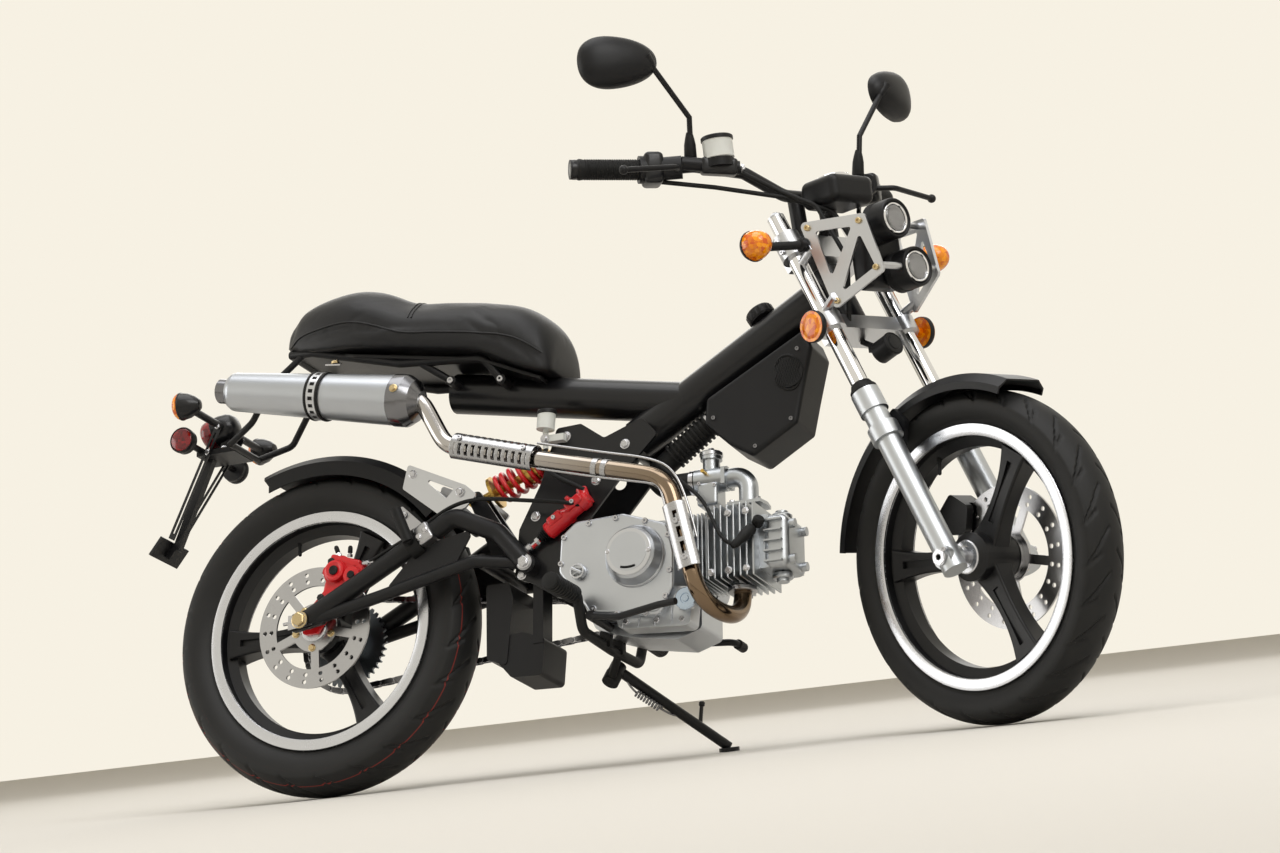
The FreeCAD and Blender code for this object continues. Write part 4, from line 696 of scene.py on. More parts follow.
# %% [markdown]
# The black rims have a bright machined band on each outer face. It is a thin turned ring that lies
# on the lip. A valve stands on each rim, and small balance weights are left out.
# %% Machined rim bands and valves
for label, axle, half, body in (("rear", REAR_AXLE, 44, "rear_wheel"), ("front", FRONT_AXLE, 37, "front_wheel")):
    bands = []
    for direction in (RIGHT, LEFT):
        bands.append(stood(turned("band", [(198.2, -3), (198.8, 0.3), (200, 0.9), (214, 0.9), (217.6, 0.5),
                                           (218.4, -0.6), (218.2, -4.6),
                               (214, -4.0), (200, -3.4), (198.2, -3)], vertices=160, ring=True),
                           axle + Vector(direction) * (half / 1000), direction))
    settle(joined(label + "_rim_bands", bands), body, POLISHED)
    valve = turned("valve", [(4.2, 0), (4.2, 6), (3.0, 9), (2.6, 22), (3.4, 23), (3.4, 32), (2.6, 34),
                             (0.8, 34.5)], 16)
    inward = Vector((math.cos(1.9), 0, math.sin(1.9)))
    settle(valve, body, F["black_rubber"], aimed(axle + inward * 0.187 + Vector((0, -0.012, 0)),
                                                                 -inward - Vector((0, 0.5, 0))))
    valve.name = label + "_valve"

# %% [markdown]
# Disc bolts, sprocket bolts and hub caps: the bright heads that catch the light round the hubs.
# %% Wheel bolts
def ring_places(centre, y, r, count, first, direction):
    return [((centre.x * 1000 + r * math.cos(first + i * 2 * math.pi / count), y,
              centre.z * 1000 + r * math.sin(first + i * 2 * math.pi / count)), direction) for i in range(count)]


bolts("rear_disc_bolts", hex_bolt(5.5, 5), ring_places(REAR_AXLE, -60.0, 37, 5, 0.26 + 0.6, RIGHT), "rear_wheel",
      BRASS_BOLT)
bolts("sprocket_bolts", hex_bolt(5.5, 5), ring_places(REAR_AXLE, 70.0, 33, 6, 0.3, LEFT), "rear_wheel")
bolts("front_disc_bolts", hex_bolt(5.5, 5), ring_places(FRONT_AXLE, 60.0, 36, 5, 0.5, LEFT), "front_wheel",
      BRASS_BOLT)
for label, axle, body, side, r0 in (("rear", REAR_AXLE, "rear_wheel", -1, 26),
                                    ("front", FRONT_AXLE, "front_wheel", -1, 28)):
    cap = turned(label + "_hub_cap", [(r0, 0), (r0, 2.5), (r0 - 2, 4), (r0 - 9, 4.6), (r0 - 11, 3.2), (13, 3.2)],
                 48)
    settle(cap, body, POLISHED, aimed(axle + Vector((0, side * 0.046
                                                                         if label == "front" else side * 0.0605,
                                                                         0)), RIGHT))

# %% [markdown]
# The chain is real links: pairs of plates, waisted between two rollers, laid along the two straight
# runs and round both sprockets. One inner and one outer link are modelled and copied, and low face
# counts keep over a hundred of them light.
# %% Chain
# x, z and the pitch radius of both sprockets, the chain's place across and its pitch
SPROCKET = (REAR_AXLE.x * 1000, REAR_AXLE.z * 1000, 85.0)
DRIVE = (548.0, 280.0, 24.0)
CHAIN_Y = 67.0
CHAIN_PITCH = 12.7


def chain_link(name, half_width, roller):
    """One link between two pins a pitch apart, along x."""
    parts = []
    for y in (-half_width, half_width):
        deselect()
        bpy.ops.mesh.primitive_circle_add(vertices=12, radius=0.0052, fill_type="NGON", location=(0, 0, 0))
        plate = bpy.context.object
        for v in plate.data.vertices:
            if v.co.x > 0.0001:
                v.co.x += CHAIN_PITCH / 1000
            elif abs(v.co.x) <= 0.0001:
                v.co.y *= 0.95
        edit_all(plate)
        bpy.ops.mesh.extrude_region_move(TRANSFORM_OT_translate={"value": (0, 0, 0.0013)})
        bpy.ops.object.mode_set(mode="OBJECT")
        plate.data.transform(Matrix.Translation((0, y / 1000 + 0.00065, 0)) @ Matrix.Rotation(math.pi / 2, 4, "X"))
        parts.append(plate)
    if roller:
        for x in (0.0, CHAIN_PITCH / 1000):
            pin = turned("roller", [(3.9, -half_width), (3.9, half_width)], 10)
            pin.data.transform(Matrix.Translation((x, 0, 0)) @ Matrix.Rotation(math.pi / 2, 4, "X"))
            parts.append(pin)
    return joined(name, parts)


def chain_path():
    x0, z0, r0 = SPROCKET
    x1, z1, r1 = DRIVE
    span = math.hypot(x1 - x0, z1 - z0)
    tilt = math.atan2(z1 - z0, x1 - x0)
    lean = math.acos((r0 - r1) / span)
    up, down = tilt + lean, tilt - lean
    points = [(x0 + r0 * math.cos(up), z0 + r0 * math.sin(up))]
    for x, z, r, a, b in ((x1, z1, r1, up, down), (x0, z0, r0, down, up - 2 * math.pi)):
        points += [(x + r * math.cos(a + (b - a) * i / 60), z + r * math.sin(a + (b - a) * i / 60))
                   for i in range(61)]
    return points


def along_path(points, step):
    """Places a step apart along a closed line, which the step divides exactly."""
    lengths = [math.dist(points[i], points[i + 1]) for i in range(len(points) - 1)]
    total = sum(lengths)
    count = 2 * round(total / step / 2)
    step = total / count
    places, i, passed = [], 0, 0.0
    for k in range(count):
        while passed + lengths[i] < k * step:
            passed += lengths[i]
            i += 1
        t = (k * step - passed) / lengths[i]
        places.append(tuple(points[i][j] + (points[i + 1][j] - points[i][j]) * t for j in (0, 1)))
    return places


pins = along_path(chain_path(), CHAIN_PITCH)
for kind, first, half, roller in (("inner", 0, 3.6, True), ("outer", 1, 5.2, False)):
    places = []
    for i in range(first, len(pins), 2):
        a, b = pins[i], pins[(i + 1) % len(pins)]
        turn = Matrix.Rotation(-math.atan2(b[1] - a[1], b[0] - a[0]), 4, "Y")
        stretch = Matrix.Diagonal((math.dist(a, b) / CHAIN_PITCH, 1, 1, 1))
        places.append(Matrix.Translation(V(a[0], CHAIN_Y, a[1])) @ turn @ stretch)
    links = repeated(kind + "_chain_links", chain_link(kind, half, roller), places)
    settle(links, "frame", DARK_STEEL if kind == "outer" else BOLT_STEEL)
    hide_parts("chain")
print("chain pins", len(pins))

# %% [markdown]
# The shock's spring is a red coil, closer wound at its ends, where the last turns lie flat on their
# seats. A curve follows the helix and gets a round bevel.
# %% Spring
SHOCK_LOW, SHOCK_HIGH = V(290, 0, 500), V(488, 0, 578)
shock_dir = (SHOCK_HIGH - SHOCK_LOW).normalized()
coil = []
TURNS = 6.6
for i in range(int(TURNS * 20) + 1):
    t = i / (TURNS * 20)
    eased = t + 0.035 * math.sin(2 * math.pi * t) * -1
    angle = 2 * math.pi * TURNS * t
    local = Vector((0.024 * math.cos(angle), 0.024 * math.sin(angle), 0.0470 + (0.1455 - 0.0470) * eased))
    coil.append(aimed(SHOCK_LOW, shock_dir) @ local)
spring = bar("coil_spring", coil, 4.3, sides=12, order=3)
settle(spring, "frame", F["red_paint"], angle=60)
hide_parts("shock_spring")
print("spring", len(spring.data.polygons))

# %% [markdown]
# The saddle is foam under grained vinyl: a hump behind, a dip, and a tall rounded nose. It starts as
# a tube of rings, and every ring is reshaped to the saddle's cross-section at its place. A cloth
# simulation then lets the cover swell and settle, with the part that is stapled under held still.
# %% Saddle shape
# x, half width, underside, top at the middle, how far the shoulder lies under the top
SEAT_SECTIONS = ((-77, 56, 822, 872, 20), (-50, 78, 815, 893, 28), (-30, 90, 807, 909, 34), (20, 105, 798, 921, 41),
                 (80, 115, 791, 923, 43), (130, 117, 783, 908, 41), (190, 116, 773, 880, 37),
                 (260, 114, 760, 869, 36),
                 (340, 110, 745, 856, 36), (400, 101, 716, 843, 37), (440, 88, 702, 818, 35),
                 (464, 73, 696, 788, 29))
SEAT_RING = 112
SEAT_ROUND = 20.0


def seat_values(x):
    """The section's four sizes at a place, on smooth curves through the list."""
    i = max(1, min(len(SEAT_SECTIONS) - 2, sum(1 for s in SEAT_SECTIONS if s[0] <= x)))
    rows = SEAT_SECTIONS
    a, b = rows[i - 1], rows[i]
    t = (x - a[0]) / (b[0] - a[0])
    before, after = rows[max(0, i - 2)], rows[min(len(rows) - 1, i + 1)]
    values = []
    for k in range(1, 5):
        slope_a = (b[k] - before[k]) / (b[0] - before[0])
        slope_b = (after[k] - a[k]) / (after[0] - a[0])
        span = b[0] - a[0]
        values.append((2 * t**3 - 3 * t**2 + 1) * a[k] + (t**3 - 2 * t**2 + t) * slope_a * span
                      + (3 * t**2 - 2 * t**3) * b[k] + (t**3 - t**2) * slope_b * span)
    return values


def seat_section(x, shrink):
    """A closed ring of places across the saddle, from the top's middle down its left side and back."""
    half, low, top, drop = seat_values(x)
    half, low, top = half - shrink, low + shrink * 0.8, top - shrink
    wide = max(low + 8, top - drop - 38)
    side = [(half * math.sin(a) ** 0.88, wide + (top - wide) * math.cos(a) ** 0.82)
            for a in (math.pi / 2 * i / 24 for i in range(25))]
    side += [(half * 0.992, wide - 5)]
    skirt = wide - 8
    if skirt - low > 8:
        side += [(half * 0.975, skirt), (half * 0.962, skirt - 3), (half * 0.955, (skirt + low) / 2),
                 (half * 0.93, low + 3)]
    else:
        side += [(half * 0.97, low + 5), (half * 0.95, low + 3), (half * 0.93, low + 2)]
    side += [(half * 0.90, low), (half * 0.5, low), (0.0, low)]
    ring = side + [(-y, z) for y, z in reversed(side[1:-1])]
    lengths = [math.dist(ring[i], ring[(i + 1) % len(ring)]) for i in range(len(ring))]
    step = sum(lengths) / SEAT_RING
    points, i, passed = [], 0, 0.0
    for k in range(SEAT_RING):
        while passed + lengths[i] < k * step:
            passed += lengths[i]
            i += 1
        t = (k * step - passed) / lengths[i]
        a, b = ring[i], ring[(i + 1) % len(ring)]
        points.append((a[0] + (b[0] - a[0]) * t, a[1] + (b[1] - a[1]) * t))
    return points


FIRST, LAST = SEAT_SECTIONS[0][0], SEAT_SECTIONS[-1][0]
places = [FIRST + SEAT_ROUND * (1 - math.cos(math.pi / 2 * i / 7)) for i in range(8)]
places += [FIRST + SEAT_ROUND + (LAST - FIRST - 2 * SEAT_ROUND) * i / 96 for i in range(1, 97)]
places += [LAST - SEAT_ROUND * (1 - math.cos(math.pi / 2 * i / 7)) for i in range(6, -1, -1)]
saddle = turned("saddle", [(100, x) for x in places], vertices=SEAT_RING)
sections = []
for x in places:
    d = min(x - FIRST, LAST - x)
    inset = SEAT_ROUND * (1 - math.sqrt(max(0.0, 1 - (1 - min(1.0, d / SEAT_ROUND)) ** 2)))
    sections.append(seat_section(x, inset + 2.0))
for v in saddle.data.vertices:
    x = v.co.z * 1000
    k = min(range(len(places)), key=lambda i: abs(places[i] - x))
    j = round(((math.pi / 2 - math.atan2(v.co.y, v.co.x)) % (2 * math.pi)) / (2 * math.pi) * SEAT_RING) % SEAT_RING
    y, z = sections[k][j]
    v.co = V(places[k], y, z)
edit_all(saddle)
bpy.ops.mesh.normals_make_consistent(inside=False)
bpy.ops.object.mode_set(mode="OBJECT")
print("saddle", len(saddle.data.polygons), "faces")

# %% [markdown]
# The cover is a copy with an even grain, so that the simulated cloth pulls alike everywhere. Its
# lowest part is pinned, as a saddle's cover is stapled to its tray. No point may move over 5 mm.
# %% Saddle cover
SWELL_CAP = 0.005


def swollen(obj, pin_under):
    """Lets cloth fill out a closed form, and keeps each point within the cap."""
    deselect()
    obj.select_set(True)
    bpy.context.view_layer.objects.active = obj
    obj.data.remesh_voxel_size = 0.0055
    bpy.ops.object.voxel_remesh()
    start = [v.co.copy() for v in obj.data.vertices]
    pins = obj.vertex_groups.new(name="pins")
    pins.add([v.index for v in obj.data.vertices if pin_under(v.co)], 1.0, "REPLACE")
    bpy.ops.object.modifier_add(type="CLOTH")
    cloth = obj.modifiers[-1]
    cloth.settings.use_pressure = True
    cloth.settings.uniform_pressure_force = 4.0
    cloth.settings.effector_weights.gravity = 0.0
    cloth.settings.vertex_group_mass = "pins"
    cloth.settings.tension_stiffness = 25.0
    cloth.point_cache.frame_end = 20
    for step in range(1, 21):
        bpy.context.scene.frame_set(step)
    bpy.ops.object.modifier_apply(modifier=cloth.name)
    for v, old in zip(obj.data.vertices, start):
        move = v.co - old
        if move.length > SWELL_CAP:
            v.co = old + move * (SWELL_CAP / move.length)
    bpy.context.scene.frame_set(1)
    return obj


def seat_floor(co):
    return co.z * 1000 < seat_values(max(FIRST, min(LAST, co.x * 1000)))[1] + 12


swollen(saddle, seat_floor)
apply_modifier(saddle, "SUBSURF", levels=1, render_levels=1)
apply_modifier(saddle, "SMOOTH", factor=0.5, iterations=2)
print("cover", len(saddle.data.polygons), "faces")

# %% [markdown]
# Seams come after the cloth: one raised seam runs over the saddle where its two panels meet, and a
# piping follows the edge where the top meets the darker skirt. Rays shot at the cover find its skin.
# %% Saddle seams
def skin(obj, start, aim_for):
    """Where a ray meets the cover, lifted a little."""
    direction = (aim_for - start).normalized()
    hit, place, normal, _ = obj.ray_cast(start, direction)
    return place + normal * 0.0004 if hit else None


seams = []
for place, lean in ((196, 0.03), (203, 0.03)):
    over = []
    for i in range(41):
        a = math.radians(-78 + 156 * i / 40)
        centre = V(place, 0, seat_values(place)[2] - 70)
        out = Vector((lean * abs(math.sin(a)), math.sin(a), math.cos(a)))
        at = skin(saddle, centre + out * 0.3, centre)
        if at is not None:
            over.append(at)
    seams.append(bar("cross_seam", over, 1.3, sides=6, order=3))
for side in (-1, 1):
    along = []
    for i in range(60):
        x = FIRST + 14 + (LAST - FIRST - 26) * i / 59
        half, low, top, drop = seat_values(x)
        z = max(low + 7, top - drop - 42)
        at = skin(saddle, V(x, side * 200, z), V(x, 0, z))
        if at is not None:
            along.append(at)
    seams.append(bar("edge_piping", along, 1.8, sides=6, order=3))
stitching = joined("saddle_seams", seams)
settle(saddle, "frame", F["vinyl"], angle=60)
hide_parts("seat")
settle(stitching, "frame", F["vinyl"], angle=60)
print("seams", len(stitching.data.polygons))

# %% [markdown]
# The two headlamps are deep black cans with a small lens each: a bright bowl behind a domed glass,
# held by a chrome ring. A rounded black body carries them. The lenses and bowls are turned pieces.
# %% Headlamps
def front(x, y, z):
    """A place of the straight front end, in millimetres from the front axle."""
    return FRONT_AXLE + V(x, y, z)


CAN = [(9, -3), (22, 0), (29, 4), (33, 11), (35, 24), (35, 57), (34.4, 60), (33.2, 61.5), (31.6, 61.5), (30.6, 60),
       (26, 55), (25.6, 50), (25.0, 40)]
BOWL = [(25.2, 53), (23.5, 46), (19, 38), (12, 32), (5, 30), (1, 29.5)]
RING = [(23.2, 54), (23.4, 59.2), (24.4, 60.4), (26.4, 60.4), (27.6, 59.0), (27.4, 54), (23.2, 54)]
GLASS = [(24.2, 56), (23.6, 58.4), (20, 61.0), (14, 62.6), (7, 63.4), (1.5, 63.6)]
cans, bowls, rings, glasses = [], [], [], []
for y, z in ((-18, 594), (18, 512)):
    at = aimed(front(-134, y, z), (1, 0, 0))
    for profile, pieces, open_ring in ((CAN, cans, True), (BOWL, bowls, False), (RING, rings, True),
                                       (GLASS, glasses, False)):
        piece = turned("lamp_piece", profile, 64, ring=open_ring)
        piece.data.transform(at)
        pieces.append(piece)
    for i in range(5):
        fin = turned("rib", [(35.0, 14 + i * 3.2), (35.9, 14.5 + i * 3.2), (35.9, 15.9 + i * 3.2),
                             (35.0, 16.4 + i * 3.2)], 64, ring=True)
        fin.data.transform(at)
        cans.append(fin)
cans.append(softened_cube("lamp_body", Matrix.Translation(front(-148, 0, 553)) @ Matrix.Diagonal((0.045, 0.088,
                                                                                                  0.130, 1)),
                          0.013, 5))
lamps = settle(joined("lamp_cans", cans), "front_end", F["black_plastic"])
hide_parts("headlamps")
settle(joined("lamp_bowls", bowls), "front_end", DARK_STEEL, angle=60)
settle(joined("lamp_rings", rings), "front_end", F["chrome"])
settle(joined("lamp_glasses", glasses), "front_end", CLEAR, angle=60)
print("headlamps made")

# %% [markdown]
# Turn signals have a black bowl and an amber lens with fine flutes. The front ones are nearly all
# lens, and the rear ones show mostly their bowl from ahead.
# %% Turn signals
def signal(at, direction, r, length, bowl_share):
    """A bowl and a lens, turned about the same line."""
    edge = length * bowl_share
    bowl = turned("bowl", [(4, -1.5), (9, 0), (r * 0.62, edge * 0.22), (r * 0.9, edge * 0.62), (r, edge),
                           (r * 1.03, edge + 0.8),
                           (r * 1.03, edge + 3.2), (r * 0.97, edge + 3.6)], 48)
    steps = []
    for i in range(11):
        a = math.pi / 2 * i / 10
        steps.append((max(0.6, r * 0.98 * math.cos(a) ** 0.8), edge + 3 + (length - edge - 3) * math.sin(a)))
    lens = turned("lens", steps, 72)
    for v in lens.data.vertices:
        a = math.atan2(v.co.y, v.co.x)
        flute = 1 + 0.012 * math.cos(a * 24)
        v.co.x *= flute
        v.co.y *= flute
    for piece in (bowl, lens):
        piece.data.transform(aimed(at, direction))
    return bowl, lens


black, amber = [], []
for side in (-1, 1):
    bowl, lens = signal(front(-240, side * 211, 572), (1, side * 0.1, 0), 26, 54, 0.26)
    stalk = bar("stalk", [front(-206, side * 104, 576), front(-214, side * 150, 574),
                          front(-226, side * 192, 572)], 7.6, sides=12)
    collar = turned("collar", [(9, 0), (12.5, 1), (12.5, 9), (10, 11), (7.8, 12)], 24)
    collar.data.transform(aimed(front(-207, side * 108, 576), (-0.25, side, 0)))
    black += [bowl, stalk, collar]
    amber.append(lens)
front_black = settle(joined("front_signal_bowls", black), "front_end", F["black_plastic"])
front_amber = settle(joined("front_signal_lenses", amber), "front_end", F["amber_lens"], angle=60)
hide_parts("front_signals")
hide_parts("front_signals")
black, amber = [], []
for side in (-1, 1):
    bowl, lens = signal(V(-204, side * 136, 716), (-1, side * 0.1, 0), 25, 52, 0.66)
    black.append(bowl)
    amber.append(lens)
rear_black = settle(joined("rear_signal_bowls", black), "frame", F["black_paint"])
rear_amber = settle(joined("rear_signal_lenses", amber), "frame", F["amber_lens"], angle=60)
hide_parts("rear_signals")
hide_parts("rear_signals")
print("signals made")

# %% [markdown]
# Behind there is a black bowl with a red lens, and a dark red reflector on each side of the carrier.
# The front reflectors are amber discs with a black rim on the fork.
# %% Tail lamp and reflectors
lamp_at = aimed(V(-204, 0, 722), (-1, 0, -0.28))
bowl = turned("tail_bowl", [(6, 0), (15, 2), (22, 8), (26, 15), (28.6, 28), (29, 40), (29.6, 41), (29.6, 45),
                            (28.4, 46)], 64)
lens = turned("tail_lens", [(28.0, 45), (27.8, 58), (26, 64.5), (21, 70), (13, 72.8), (5, 73.8), (1, 74)], 64)
bowl.data.transform(lamp_at)
lens.data.transform(lamp_at)
tail_bowl = settle(bowl, "frame", F["black_paint"])
tail_lens = settle(lens, "frame", F["red_lens"], angle=60)
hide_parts("tail_lamp")
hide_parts("tail_lamp")
DISC = [(23.4, 0), (24.2, 1.2), (24.2, 4.4), (23.2, 5.2), (21.8, 5.2), (21.6, 4.0)]
FACE = [(21.7, 3.8), (21.2, 5.0), (19.5, 5.6), (8, 6.2), (1, 6.3)]
for label, body_name, finish_name, place_of in (
        ("rear_reflector", "frame", "red_lens", lambda side: (V(-262, side * 91, 668), (0, side, 0), 1.0)),
        ("front_reflector", "front_end", "amber_lens", lambda side: (fork(470, side * 124.0), (0, side, 0), 1.14))):
    rims, faces = [], []
    for side in (-1, 1):
        at, direction, size = place_of(side)
        for profile, pieces in ((DISC, rims), (FACE, faces)):
            pieces.append(stood(turned("disc", [(r * size, a * 2 + 1) for r, a in profile], 64), at, direction))
    settle(joined(label + "_rims", rims), body_name, F["black_plastic"])
    settle(joined(label + "_faces", faces), body_name, F[finish_name], angle=60)
print("tail made")

# %% [markdown]
# The horn shows its rings, and the front lamp plates get their brass-coloured bolts.
# %% Horn and plate bolts
horn = turned("horn_rings", [(6, 0), (20.4, 1), (20.8, 3), (20.8, 6), (19, 8), (17.5, 6.8), (13, 7.4), (12, 9),
                             (6, 9.6), (2, 9.6)], 48)
settle(horn, "front_end", F["black_plastic"], aimed(front(-143, 0, 391.7), (30, 0, 8)))


def on_plate(x, z, side=-1):
    """A place on the outer face of a lamp plate, which is toed in by 17 degrees."""
    turn = math.radians(-side * 17)
    out = side * 2.7
    return front(-210 + x * math.cos(turn) - out * math.sin(turn),
                 side * 108 + x * math.sin(turn) + out * math.cos(turn), z)


plate_bolts = []
for side in (-1, 1):
    turn = math.radians(-side * 17)
    facing = Vector((-side * math.sin(turn), side * math.cos(turn), 0))
    for x, z in ((13, 603), (111, 593), (131, 508), (50, 468)):
        plate_bolts.append((on_plate(x, z, side) * 1000, facing))
bolts("lamp_plate_bolts", socket_bolt(5.4, 4.5), plate_bolts, "front_end", BRASS_BOLT)

# %% [markdown]
# The muffler's can is plain, so its fittings carry it: a tip, a dark polished front cap, and a strap
# whose bright strip has square windows between two black edges. The strap's lug bolts to the rail.
# %% Muffler fittings
MUFFLER_REAR, MUFFLER_FRONT = V(-123, -150, 723), V(210, -150, 656)
can_dir = (MUFFLER_FRONT - MUFFLER_REAR).normalized()
can_length = (MUFFLER_FRONT - MUFFLER_REAR).length * 1000


def can_radius(d):
    return 35.0 + 10.0 * (d - 5) / (can_length - 9)


tip = turned("muffler_tip", [(16.8, -4), (16.8, -29.5), (17.6, -30.4), (21.4, -30.4), (22.3, -29.4), (22.3, -9),
                             (21, -7.5)], 64, ring=True)
settle(tip, "frame", DARK_STEEL, aimed(MUFFLER_REAR, can_dir))
cap = turned("muffler_front_cap", [(45.3, can_length - 5), (46.5, can_length - 3.6), (46.5, can_length + 17.4),
                                   (45.6, can_length + 20),
                                   (37.0, can_length + 34.6), (19, can_length + 46.4)], 96, ring=True)
settle(cap, "frame", DARK_STEEL, aimed(MUFFLER_REAR, can_dir), angle=24)
STRAP_AT = 182.0
strip_r = can_radius(STRAP_AT) + 1.6
WINDOWS = 20
strip = turned("strap_strip", [(strip_r, -9), (strip_r, -4.5), (strip_r, 4.5), (strip_r, 9)],
               vertices=WINDOWS * 4, ring=True)


def window(at):
    around = math.degrees(math.atan2(at.y, at.x)) % (360 / WINDOWS)
    return abs(at.z) < 0.004 and around < 360 / WINDOWS / 2


without_faces(strip, window)
apply_modifier(strip, "SOLIDIFY", thickness=0.0012, offset=1)
settle(strip, "frame", F["bright_aluminium"],
       aimed(MUFFLER_REAR + can_dir * (STRAP_AT / 1000), can_dir), angle=24)
edges = []
for a in (-11.4, 11.4):
    edge = turned("strap_edge", [(strip_r - 1.2, a - 2.6), (strip_r + 1.9, a - 2.6), (strip_r + 2.5, a),
                                 (strip_r + 1.9, a + 2.6),
                                 (strip_r - 1.2, a + 2.6), (strip_r - 1.2, a - 2.6)], 96, ring=True)
    edges.append(edge)
under = turned("strap_backing", [(strip_r - 1.3, -9), (strip_r - 0.5, -9), (strip_r - 0.5, 9),
                                 (strip_r - 1.3, 9)], 96, ring=True)
settle(joined("strap_edges", edges + [under]), "frame", F["black_rubber"],
       aimed(MUFFLER_REAR + can_dir * (STRAP_AT / 1000), can_dir), angle=24)
lug = sheet_shape("strap_lug", [V(42, -118, 758), V(72, -118, 754), V(66, -98, 764), V(48, -98, 766)],
                  (0, 0, 0.003))
settle(lug, "frame", BOLT_STEEL)
bolts("strap_bolt", hex_bolt(6, 5), [((57, -108, 764), (0, -0.3, 1))], "frame", BRASS_BOLT)
bolts("muffler_clamp_bolt", hex_bolt(6, 5), [((222, -196, 662), (0.1, -1, 0.2))], "frame", BRASS_BOLT)

# %% [markdown]
# The heat guards stand off the pipe: a half-round sheet with rows of slots behind, and a slotted
# plate on the pipe's run down to the engine. Each is a grid whose faces are taken out by place,
# wrapped round the pipe's line and then thickened.
# %% Heat guards
BENDS = [V(240, -150, 650.6), V(252, -150, 648), V(262, -150, 636), V(290, -150, 580), V(306, -150, 558),
         V(336, -150, 549.4),
         V(470, -150, 510), V(660, -148.6, 459), V(700, -148.2, 448), V(724, -147.8, 424), V(731, -147.2, 392),
         V(752, -145, 308),
         V(760, -143, 262), V(772, -132, 228), V(786, -100, 214), V(792, -56, 216), V(792, -16, 232),
         V(792, 0, 252), V(792, 0, 283)]
pipe = bar("smooth_pipe", BENDS, 15.2, sides=28, order=4)
settle(pipe, "frame", HEATED, angle=60)
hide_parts("exhaust_pipe")


def guard(name, a, b, r, spread, keep, along_steps, round_steps, sideways):
    """A sheet wrapped round the line from a to b, through `spread` degrees about its outer side."""
    deselect()
    bpy.ops.mesh.primitive_grid_add(x_subdivisions=along_steps, y_subdivisions=round_steps, size=2.0)
    obj = bpy.context.object
    obj.name = name
    without_faces(obj, lambda at: not keep(at.x, at.y))
    along = (b - a).normalized()
    out = (sideways - along * sideways.dot(along)).normalized()
    over = along.cross(out)
    for v in obj.data.vertices:
        d = (b - a) * ((v.co.x + 1) / 2)
        angle = math.radians(spread / 2) * v.co.y
        v.co = a + d + (out * math.cos(angle) + over * math.sin(angle)) * (r / 1000)
    apply_modifier(obj, "SOLIDIFY", thickness=0.0016, offset=0)
    apply_modifier(obj, "BEVEL", width=0.0005, segments=2, limit_method="ANGLE")
    return obj


def rear_slots(x, y):
    row = abs(y)
    slot = (x * 6.0) % 1.0
    edge = abs(x) > 0.90 or row > 0.86
    return edge or not (0.28 < slot < 0.80 and (0.18 < row < 0.72))


def front_slots(x, y):
    inside = abs(y) < 0.17 and abs(x) < 0.72
    return not (inside and ((x + 0.72) / 1.44 * 3) % 1.0 < 0.74)


rear_guard = guard("rear_heat_guard", V(322, -150, 554), V(476, -150, 508.6), 23.5, 200, rear_slots, 96, 40,
                   Vector((0, -1, 0.5)))
front_guard = guard("front_heat_guard", V(733, -146, 390), V(760, -144, 276), 25, 104, front_slots, 60, 36,
                    Vector((0.1, -1, 0)))
clips = []
for a, b, r, spots in ((V(322, -150, 554), V(476, -150, 508.6), 23.5, (12, 146)),
                       (V(733, -146, 390), V(760, -144, 276), 25, (24, 92)),
                       (V(500, -150, 501), V(718, -148, 444), 16.4, (92, 110))):
    along = (b - a).normalized()
    for d in spots:
        clips.append(stood(turned("clip", [(r - 8.5 if r > 20 else 15.0, -5), (r - 7 if r > 20 else 16.4, -5),
                                           (r - 7 if r > 20 else 17, 5),
                               (r - 8.5 if r > 20 else 15.0, 5), (r - 8.5 if r > 20 else 15.0, -5)], 48,
                                  ring=True), a + along * (d / 1000), along))
guards = settle(joined("heat_guards", [rear_guard, front_guard] + clips), "frame", DULL_CHROME, angle=30)
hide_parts("heat_shields")
print("guards", len(guards.data.polygons))
bolts("guard_bolts", socket_bolt(5, 4), [((742, -172, 356), (0.1, -1, 0)), ((757, -170, 292), (0.1, -1, 0)),
                                         ((340, -172, 560), (0, -1, 0.6)), ((462, -172, 524), (0, -1, 0.6))],
      "frame")

# %% [markdown]
# Two thin chrome rods run along the pipe as a guard rail, and the pipe's flange is bolted to the head.
# %% Guard rods and flange
rods = []
for up, out in ((24, -4), (-22, -6)):
    line = [V(480, -150 + out, 512 + up), V(600, -150 + out, 478 + up), V(690, -150 + out, 456 + up * 0.98),
            V(720 + up * 0.55, -150 + out, 440 + up * 0.55), V(736 + up * 0.9, -148 + out, 392),
            V(750 + up * 0.9, -147 + out, 330)]
    rods.append(bar("guard_rod", line, 2.2, sides=8, order=3))
settle(joined("guard_rods", rods), "frame", DULL_CHROME, angle=60)
flange = turned("exhaust_flange", [(16, 0), (24, 0), (25, 1.5), (25, 7), (23.5, 8.5), (16.5, 8.5)], 40, ring=True)
settle(flange, "frame", F["zinc_steel"], aimed(V(792, 0, 272), UP))
bolts("flange_nuts", hex_bolt(5, 6), [((792, -31, 275), (0, 0, -1)), ((792, 31, 275), (0, 0, -1))], "frame")

